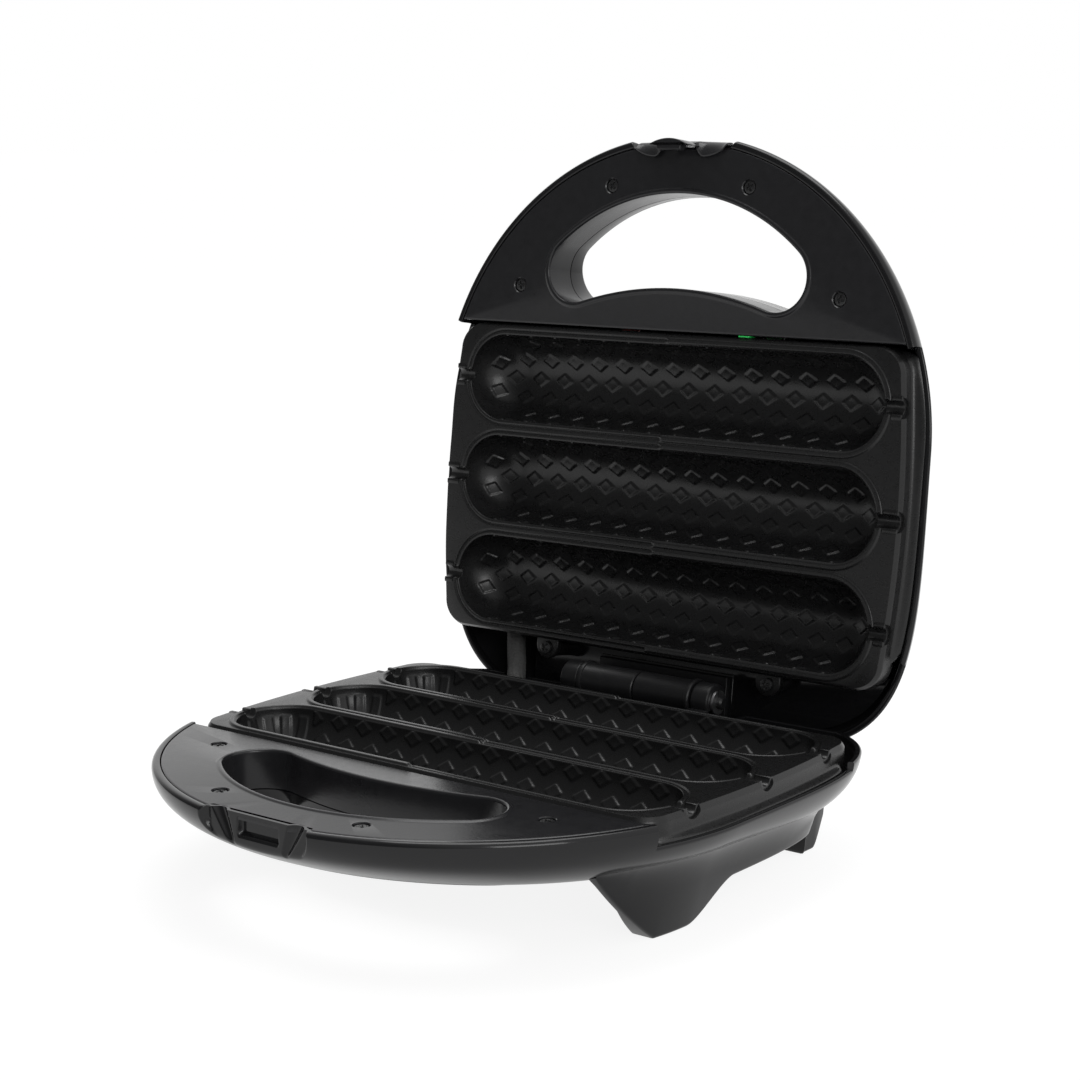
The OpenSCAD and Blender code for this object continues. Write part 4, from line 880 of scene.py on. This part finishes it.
plates = {}
for half, place, bead_side, bead_h, ribs in (("lower", on_base, -1, 0.85, -1), ("upper", on_lid, 1, 0.45, 0)):
    slots = [slab(stadium(cavity_r + 2.6, s), -30, 6, 0.1) for s in cavity_spots.values()]
    slots += [lathe(rod(4.0, *sorted((side * 97.0, side * 118.0)), 0.1), "x", (s, deck_z), 40)
              for s in cavity_spots.values() for side in (-1, 1)]
    top = build(half + "_deck", [deck()], place)
    for slot_part in slots:
        carve(top, [slot_part], place)
    extras = [channel_tube(side, s) for s in cavity_spots.values() for side in (-1, 1)]
    extras += [lug(side) for side in (-1, 1)]
    plates[half] = [top, build(half + "_channels", extras, place)]
    plates[half] += [build(f"{half}_cavity_{spot}", [cavity(s, bead_side, bead_h, ribs)], place, angle=60)
                     for spot, s in cavity_spots.items()]
    print(half, "plate:", [len(piece.data.polygons) for piece in plates[half]])

# %% [markdown]
# The hinge: two ears on a plate stand on the base, and the lid's barrel turns between them on a
# steel pin. The barrel has a flange at each end and a thin split in the middle. All are painted
# steel with rolled edges, so each solid here has rounded corners.

# %% Hinge
axis_z, barrel_r, barrel_hl, ear_in, ear_out, pin_r, pin_end = 1.0, 7.0, 27.0, 27.5, 35.5, 2.5, 39.0


def barrel():
    """Profile along x: flange, tube, split, tube, flange."""
    half = [(6.0, 0.3), (6.7, 0.36), (barrel_r, 0.7), (barrel_r, 24.6), (7.15, 24.9), (7.6, 25.0),
            (7.8, 25.3), (7.8, 26.5), (7.4, barrel_hl), (0, barrel_hl)]
    profile = [(radius, -along) for radius, along in half[::-1]] + half
    return lathe(profile, "x", (0, axis_z), 80)


def ear(side):
    """A round ear with rounded rims."""
    return lathe(rod(barrel_r, *sorted((side * ear_in, side * ear_out)), 0.9), "x", (0, axis_z), 80)


def ear_block(side):
    """The block that joins an ear to the plate behind the bulkhead's bay."""
    x0, x1 = sorted((side * ear_in, side * ear_out))
    return brick((x0, 0.2, -11), (x1, bay_s - 0.3, -1), 0.6)


hinge_plate = brick((-41, 8.3, -17.7), (41, bay_s, -5.7), 0.4)
ears = [shape(side) for side in (-1, 1) for shape in (ear, ear_block)]
base_hinge = build("base_hinge_ears", [hinge_plate] + ears, on_base)
lid_hinge = build("lid_hinge_barrel", [barrel(), brick((-24, -3.5, -15), (24, 3.5, 0.5), 0.5),
                                       brick((-31, -8, -15), (31, 8, -12), 0.5)], on_lid)
pin_profile = [(0, -37.35), (2.6, -37.3), (3.9, -36.95), (4.4, -36.4), (4.4, -35.95), (4.2, -35.75),
               (pin_r, -35.75), (pin_r, pin_end - 0.7), (pin_r - 0.6, pin_end), (0, pin_end)]
pin = build("hinge_axle", [lathe(pin_profile, "x", (0, axis_z), 56)], on_base)
print("hinge barrel length", 2 * barrel_hl, "mm")

# %% [markdown]
# The latch is a small arched clip in the lid's recess. Its plan is a segment of a circle, its
# edges are well rounded, and a hook and two knuckles sit behind it. A thin wavy sheet runs out to
# both sides in the gap between the halves and rises from there into the recess. Two flanges stand
# behind it.

# %% Latch
latch_c, latch_r, latch_back, pivot_s, pivot_z = 195.4, 18.8, 211.9, 208.6, -6.5
sheet_hw, sheet_low, sheet_top, dip_x = 20.5, 207.9, 213, 11.5
arch = np.linspace(-1, 1, 45) * np.arccos((latch_back - latch_c) / latch_r)
arch_loop = np.column_stack([latch_r * np.sin(arch), latch_c + latch_r * np.cos(arch)])
latch_parts = [slab(arch_loop, -5.5, 9.6, 0.55, steps=6), brick((-5.5, 209.7, 5), (5.5, 213, 9), 0.4)]
for side in (-1, 1):
    near, far = sorted((side * 3.2, side * 6.6))
    latch_parts.append(lathe(rod(2.7, near, far, 0.4), "x", (pivot_s, pivot_z), 40))
    latch_parts.append(brick((near, pivot_s, pivot_z - 2.6), (far, latch_back + 0.8, pivot_z + 2.6), 0.3))


def latch_wings():
    """A thin sheet: its front edge is a wave along x, and it rises from there into the recess."""
    x = np.linspace(-sheet_hw, sheet_hw, 165)
    reach = np.abs(x)
    outer = 2.7 * ((reach - dip_x) / 9.0) ** 2
    inner = 3.2 * ((dip_x - reach) / 3.5) ** 2
    wave = np.minimum(sheet_low + np.where(reach > dip_x, outer, inner), latch_back)
    thick = 1.2 - 0.5 * (reach / sheet_hw) ** 2
    rows = []
    for t in np.linspace(0, 1, 13):
        rise = wave + (sheet_top - wave) * (1 - (1 - t) ** 3)
        rows.append(np.stack([x, rise, np.full_like(x, 1.6 - 6.2 * t)], -1))
    rows += [row + np.stack([0 * x, thick, 0 * x], -1) for row in rows[::-1]]
    rows.append((rows[0] + rows[-1]) / 2 + np.array([0, 0, 0.2]))
    grid = np.stack(rows)
    size = grid.shape[:2]
    return grid.reshape(-1, 3), quads(*size, close_rows=True) + end_caps(*size)


flanges = [brick((near, 211.5, -5.4), (near + 13.4, sheet_top, -4.4), 0.3) for near in (-20.4, 7.0)]
latch = build("latch_clip", latch_parts + [latch_wings()] + flanges, on_lid)
print("latch points:", len(latch.data.vertices))

# %% [markdown]
# Lamp windows: two coloured buttons in the lid's back. The green one has a thin green strip that
# ends in the seam between plate and handle: its green colour is a painted glow, as no lamp lights
# it from inside. The cord inlet has a rubber bush with a rounded flange.

# %% Lamp windows and inlet bush
lens_low, lens_high = -28.2, -21.8


def window(x):
    """A button with a domed outer end and a rim inside."""
    turns = np.linspace(0.2, 1.57, 10)
    profile = [(0, lens_low)] + [(3.6 * np.sin(t), lens_low + 1.1 * (1 - np.cos(t))) for t in turns]
    profile += [(3.6, lens_high - 1.3), (4.7, lens_high - 1.2), (4.8, lens_high - 0.2), (4.6, lens_high),
                (0, lens_high)]
    return lathe(profile, "z", (x, lens_s), 48)


# A green strip in the seam: its colour is a painted glow of the ready lamp.
painted_glow_strip = brick((32.3, 139.98, -6), (37.1, 140.58, -0.3), 0.1)
green_window = build("ready_window", [window(lens_x), painted_glow_strip], on_lid)
red_window = build("power_window", [window(-lens_x)], on_lid)
bush_profile = [(4.0, 1.4), (4.0, -13.5), (4.3, -13.95), (6.6, -14.0), (7.15, -13.7), (7.3, -13.2),
                (7.1, -12.6), (5.5, -12.5), (5.5, 1.4)]
bush = build("inlet_grommet", [lathe(bush_profile, "s", inlet_spot, 64, closed=True)], on_base)

# %% [markdown]
# The lead to the lid's element runs in a braided glass sleeve beside the hinge. A circle is
# carried along a smooth curve through a few points, and the braid is a small wave of the radius:
# two sets of strands wind round in opposite directions.

# %% Lead sleeve
lead_route = np.array([(-78, 20, 16), (-76, 16, 10), (-73, 12, 3), (-70, 8.5, -2), (-67, 4, -7),
                       (-66, 0, -13), (-66, -3, -19)], float)


def smooth_route(points, count):
    """Catmull-Rom curve: cubic pieces whose slope at a point is half the step over its neighbours."""
    padded = np.concatenate([2 * points[:1] - points[1:2], points, 2 * points[-1:] - points[-2:-1]])
    t = np.linspace(0, len(points) - 1 - 1e-9, count)
    i = t.astype(int)
    f = (t - i)[:, None]
    p0, p1, p2, p3 = (padded[i + k] for k in range(4))
    return p1 + 0.5 * f * (p2 - p0 + f * (2 * p0 - 5 * p1 + 4 * p2 - p3 + f * (3 * (p1 - p2) + p3 - p0)))


def sleeve_skin():
    """Circles across the route; radius 3.8 plus the braid's wave of two opposite windings."""
    path = smooth_route(lead_route, 150)
    along = np.gradient(path, axis=0)
    length = np.concatenate([[0], np.cumsum(np.linalg.norm(np.diff(path, axis=0), axis=1))])[:, None]
    along /= np.linalg.norm(along, axis=1, keepdims=True)
    across = np.cross(along, np.array([0.0, 1.0, 0.3]))
    across /= np.linalg.norm(across, axis=1, keepdims=True)
    third = np.cross(along, across)
    turn = np.linspace(0, 2 * np.pi, 72, endpoint=False)
    wave = np.sin(6 * turn + 1.9 * length) * np.sin(6 * turn - 1.9 * length)
    radius = (3.8 + 0.17 * wave)[..., None]
    spoke = np.cos(turn)[:, None] * across[:, None] + np.sin(turn)[:, None] * third[:, None]
    skin = path[:, None] + radius * spoke
    ends = [np.broadcast_to(path[k], (1, len(turn), 3)) for k in (0, -1)]
    grid = np.concatenate([ends[0], skin, ends[1]])
    return grid.reshape(-1, 3), quads(grid.shape[0], len(turn), close_cols=True)


def on_hinge(x, y, z):
    """Points measured from the hinge axis, to metres."""
    return np.stack([x, hinge_y + y, hinge_z + z], -1) / 1000


sleeve = build("lead_braid", [sleeve_skin()], on_hinge, angle=70)
print("sleeve points:", len(sleeve.data.vertices))

# %% [markdown]
# Finishes. Each is a small node tree on Object coordinates: noise varies the colour and the
# roughness a little, and finer noise gives a bump. The constants sit on the shader's own sockets.

# %% Finishes


def wire(tree, kind, sockets, **settings):
    """A new shader node: settings on the node, then a value or a link for each named socket."""
    node = tree.nodes.new(kind)
    for name, value in settings.items():
        setattr(node, name, value)
    for socket, value in sockets.items():
        if isinstance(value, bpy.types.NodeSocket):
            tree.links.new(value, node.inputs[socket])
        else:
            node.inputs[socket].default_value = value
    return node


def finish(name, colour, rough, vary, grain, bump, depth, metallic=0.0, specular=0.5):
    """Noise of scale grain mixes the colour with a lighter one and spreads the roughness by vary;
    finer noise gives a bump of the given strength and depth in metres."""
    material = bpy.data.materials.new(name)
    material.use_nodes = True
    tree = material.node_tree
    shader = tree.nodes["Principled BSDF"]
    shader.inputs["Metallic"].default_value = metallic
    shader.inputs["Specular IOR Level"].default_value = specular
    place = wire(tree, "ShaderNodeTexCoord", {}).outputs["Object"]
    noise = wire(tree, "ShaderNodeTexNoise", {"Scale": grain, "Detail": 4, "Vector": place}).outputs["Fac"]
    lighter = (*(min(1, 1.35 * part + 0.002) for part in colour), 1)
    tint = wire(tree, "ShaderNodeMix", {"A": (*colour, 1), "B": lighter, "Factor": noise}, data_type="RGBA")
    spread = wire(tree, "ShaderNodeMapRange",
                  {"To Min": rough - vary, "To Max": rough + vary, "Value": noise})
    fine = wire(tree, "ShaderNodeTexNoise", {"Scale": grain * 4, "Detail": 3, "Vector": place}).outputs["Fac"]
    relief = wire(tree, "ShaderNodeBump", {"Strength": bump, "Distance": depth, "Height": fine})
    tree.links.new(tint.outputs["Result"], shader.inputs["Base Color"])
    tree.links.new(spread.outputs["Result"], shader.inputs["Roughness"])
    tree.links.new(relief.outputs["Normal"], shader.inputs["Normal"])
    return material


finishes = {
    "shell": finish("gloss_black_moulding", (0.0055, 0.0055, 0.006), 0.12, 0.03, 40, 0.05, 0.0004,
                    specular=0.32),
    "frame": finish("satin_black_moulding", (0.0105, 0.0105, 0.0115), 0.22, 0.04, 260, 0.10, 0.0003,
                    specular=0.35),
    "plate": finish("non_stick_coat", (0.006, 0.006, 0.0062), 0.28, 0.05, 420, 0.12, 0.0003,
                    specular=0.36),
    "black_screw": finish("blackened_screw", (0.012, 0.012, 0.0125), 0.27, 0.05, 500, 0.1, 0.0002,
                          metallic=0.1),
    "hinge": finish("hinge_paint", (0.007, 0.007, 0.0075), 0.36, 0.06, 300, 0.15, 0.0003, specular=0.25),
    "steel": finish("bright_steel", (0.55, 0.55, 0.56), 0.3, 0.08, 350, 0.08, 0.0002, metallic=1.0),
    "ceramic": finish("cream_ceramic", (0.72, 0.69, 0.62), 0.55, 0.08, 300, 0.15, 0.0003),
    "bush": finish("black_rubber", (0.02, 0.02, 0.02), 0.62, 0.08, 380, 0.2, 0.0003),
    "red_lens": finish("red_window", (0.5, 0.012, 0.01), 0.12, 0.03, 200, 0.03, 0.0002),
    "green_lens": finish("green_window", (0.02, 0.42, 0.08), 0.12, 0.03, 200, 0.03, 0.0002),
    "lamp_glass": finish("lamp_glass", (0.75, 0.72, 0.66), 0.08, 0.02, 200, 0.03, 0.0002),
    "sleeve": finish("glass_braid", (0.055, 0.055, 0.054), 0.8, 0.1, 900, 0.6, 0.0005),
}
print("finishes:", sorted(finishes))

# %% [markdown]
# Each new piece hides the CAD nodes that it stands for and takes a slot's finish, and all but the
# lead sleeve ride on a body. CAD nodes that stay visible take the finish of their own slot.

# %% Hand the pieces to the frame


def hand_over(piece, body, slot, *nodes):
    """Rides on a body, replaces nodes and takes the finish of a slot."""
    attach(piece, body)
    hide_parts(*nodes)
    piece.data.materials.clear()
    piece.data.materials.append(finishes[slot])


hand_over(base_shell, "base", "shell", "base_shell", "base_rear_housing")
hand_over(base_collar, "base", "shell", "base_shell")
hand_over(base_housing, "base", "shell", "base_rear_housing")
hand_over(base_wall, "base", "shell", "base_rear_wall")
hand_over(rails, "base", "shell", "base_rails")
hand_over(lid_shell, "lid", "shell", "lid_shell")
hand_over(lid_fittings, "lid", "shell", "lid_shell")
for half, piece in frames.items():
    hand_over(piece, half, "frame", half + "_handle_frame")
for node, piece in screws.items():
    hand_over(piece, "base" if node.startswith(("base", "lower")) else "lid", "black_screw", node)
for half, parts in plates.items():
    for piece in parts:
        hand_over(piece, "base" if half == "lower" else "lid", "plate", half + "_plate")
hand_over(base_hinge, "base", "hinge", "base_hinge_bracket")
hand_over(lid_hinge, "lid", "hinge", "lid_hinge_bracket")
hand_over(pin, "base", "hinge", "hinge_pin")
hand_over(latch, "latch", "frame", "latch")
hand_over(green_window, "lid", "green_lens", "ready_lamp_lens")
hand_over(red_window, "lid", "red_lens", "power_lamp_lens")
hand_over(bush, "base", "bush", "cord_inlet_bush")
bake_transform(sleeve)
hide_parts("lead_sleeve")
sleeve.data.materials.append(finishes["sleeve"])
slots = {part["node"]: part["material_slot"] for part in frame["record"]["subparts"]}
for node, piece in frame["nodes"].items():
    piece.data.materials.clear()
    piece.data.materials.append(finishes[slots[node]])
print("nodes with a finish:", len(slots))

# %% [markdown]
# A plain studio: a white floor and surround, soft lights above and to the right, and a darker
# side at the front left. That dark side is what makes the black faces that look forward read as
# black.

# %% Studio
scene = bpy.context.scene
scene.view_settings.view_transform = "Standard"
floor_half = 40
floor_mesh = bpy.data.meshes.new("studio_floor")
corners = [(-floor_half, -floor_half, 0), (floor_half, -floor_half, 0), (floor_half, floor_half, 0),
           (-floor_half, floor_half, 0)]
floor_mesh.from_pydata(corners, [], [(0, 1, 2, 3)])
floor = bpy.data.objects.new("studio_floor", floor_mesh)
scene.collection.objects.link(floor)


def background_rays(tree):
    """Share of glow for rays that show the background: camera, glossy and transmission rays."""
    rays = wire(tree, "ShaderNodeLightPath", {})
    joined = rays.outputs["Is Camera Ray"]
    for name, share in (("Is Glossy Ray", 0.45), ("Is Transmission Ray", 1.0)):
        scaled = wire(tree, "ShaderNodeMath", {0: rays.outputs[name], 1: share}, operation="MULTIPLY")
        larger = wire(tree, "ShaderNodeMath", {0: joined, 1: scaled.outputs["Value"]}, operation="MAXIMUM")
        joined = larger.outputs["Value"]
    return joined


paper = bpy.data.materials.new("white_paper")
paper.use_nodes = True
tree = paper.node_tree
tree.nodes.clear()
matt = wire(tree, "ShaderNodeBsdfDiffuse", {"Color": (0.85, 0.85, 0.85, 1)})
glow = wire(tree, "ShaderNodeEmission", {"Strength": 1.1})
part = wire(tree, "ShaderNodeMath", {0: background_rays(tree), 1: 0.8}, operation="MULTIPLY")
share = wire(tree, "ShaderNodeMixShader",
             {"Fac": part.outputs["Value"], 1: matt.outputs["BSDF"], 2: glow.outputs["Emission"]})
wire(tree, "ShaderNodeOutputMaterial", {"Surface": share.outputs["Shader"]})
floor_mesh.materials.append(paper)

world = bpy.data.worlds.new("studio")
scene.world = world
world.use_nodes = True
tree = world.node_tree
backdrop = tree.nodes["Background"]
dark_side = (-0.6, -0.8, 0.0)
direction = wire(tree, "ShaderNodeTexCoord", {}).outputs["Generated"]
toward = wire(tree, "ShaderNodeVectorMath", {0: direction, 1: dark_side}, operation="DOT_PRODUCT")
shade = wire(tree, "ShaderNodeMapRange",
             {"From Min": 0.0, "From Max": 0.7, "To Min": 0.95, "To Max": 0.15,
              "Value": toward.outputs["Value"]}, interpolation_type="SMOOTHSTEP")
rays = wire(tree, "ShaderNodeLightPath", {})
level = wire(tree, "ShaderNodeMix",
             {"A": shade.outputs["Result"], "B": 1.0, "Factor": rays.outputs["Is Camera Ray"]})
tree.links.new(level.outputs["Result"], backdrop.inputs["Strength"])
backdrop.inputs["Color"].default_value = (1, 1, 1, 1)


def soft_light(name, spot, aim, size, watts):
    """A square light at a spot that faces the aim."""
    data = bpy.data.lights.new(name, "AREA")
    data.size = size
    data.energy = watts
    lamp = bpy.data.objects.new(name, data)
    back = np.array(spot, float) - np.array(aim, float)
    back /= np.linalg.norm(back)
    side = np.cross((0, 0, 1), back)
    side /= np.linalg.norm(side)
    turn = np.eye(4)
    turn[:3, :3] = np.stack([side, np.cross(back, side), back], 1)
    turn[:3, 3] = spot
    lamp.matrix_world = Matrix(turn.tolist())
    scene.collection.objects.link(lamp)


soft_light("right_softbox", (1.15, -0.75, 0.6), (0, 0, 0.12), 0.6, 5)
soft_light("top_softbox", (-0.1, 0.2, 1.5), (0, 0, 0.1), 0.9, 9)
print("studio ready")
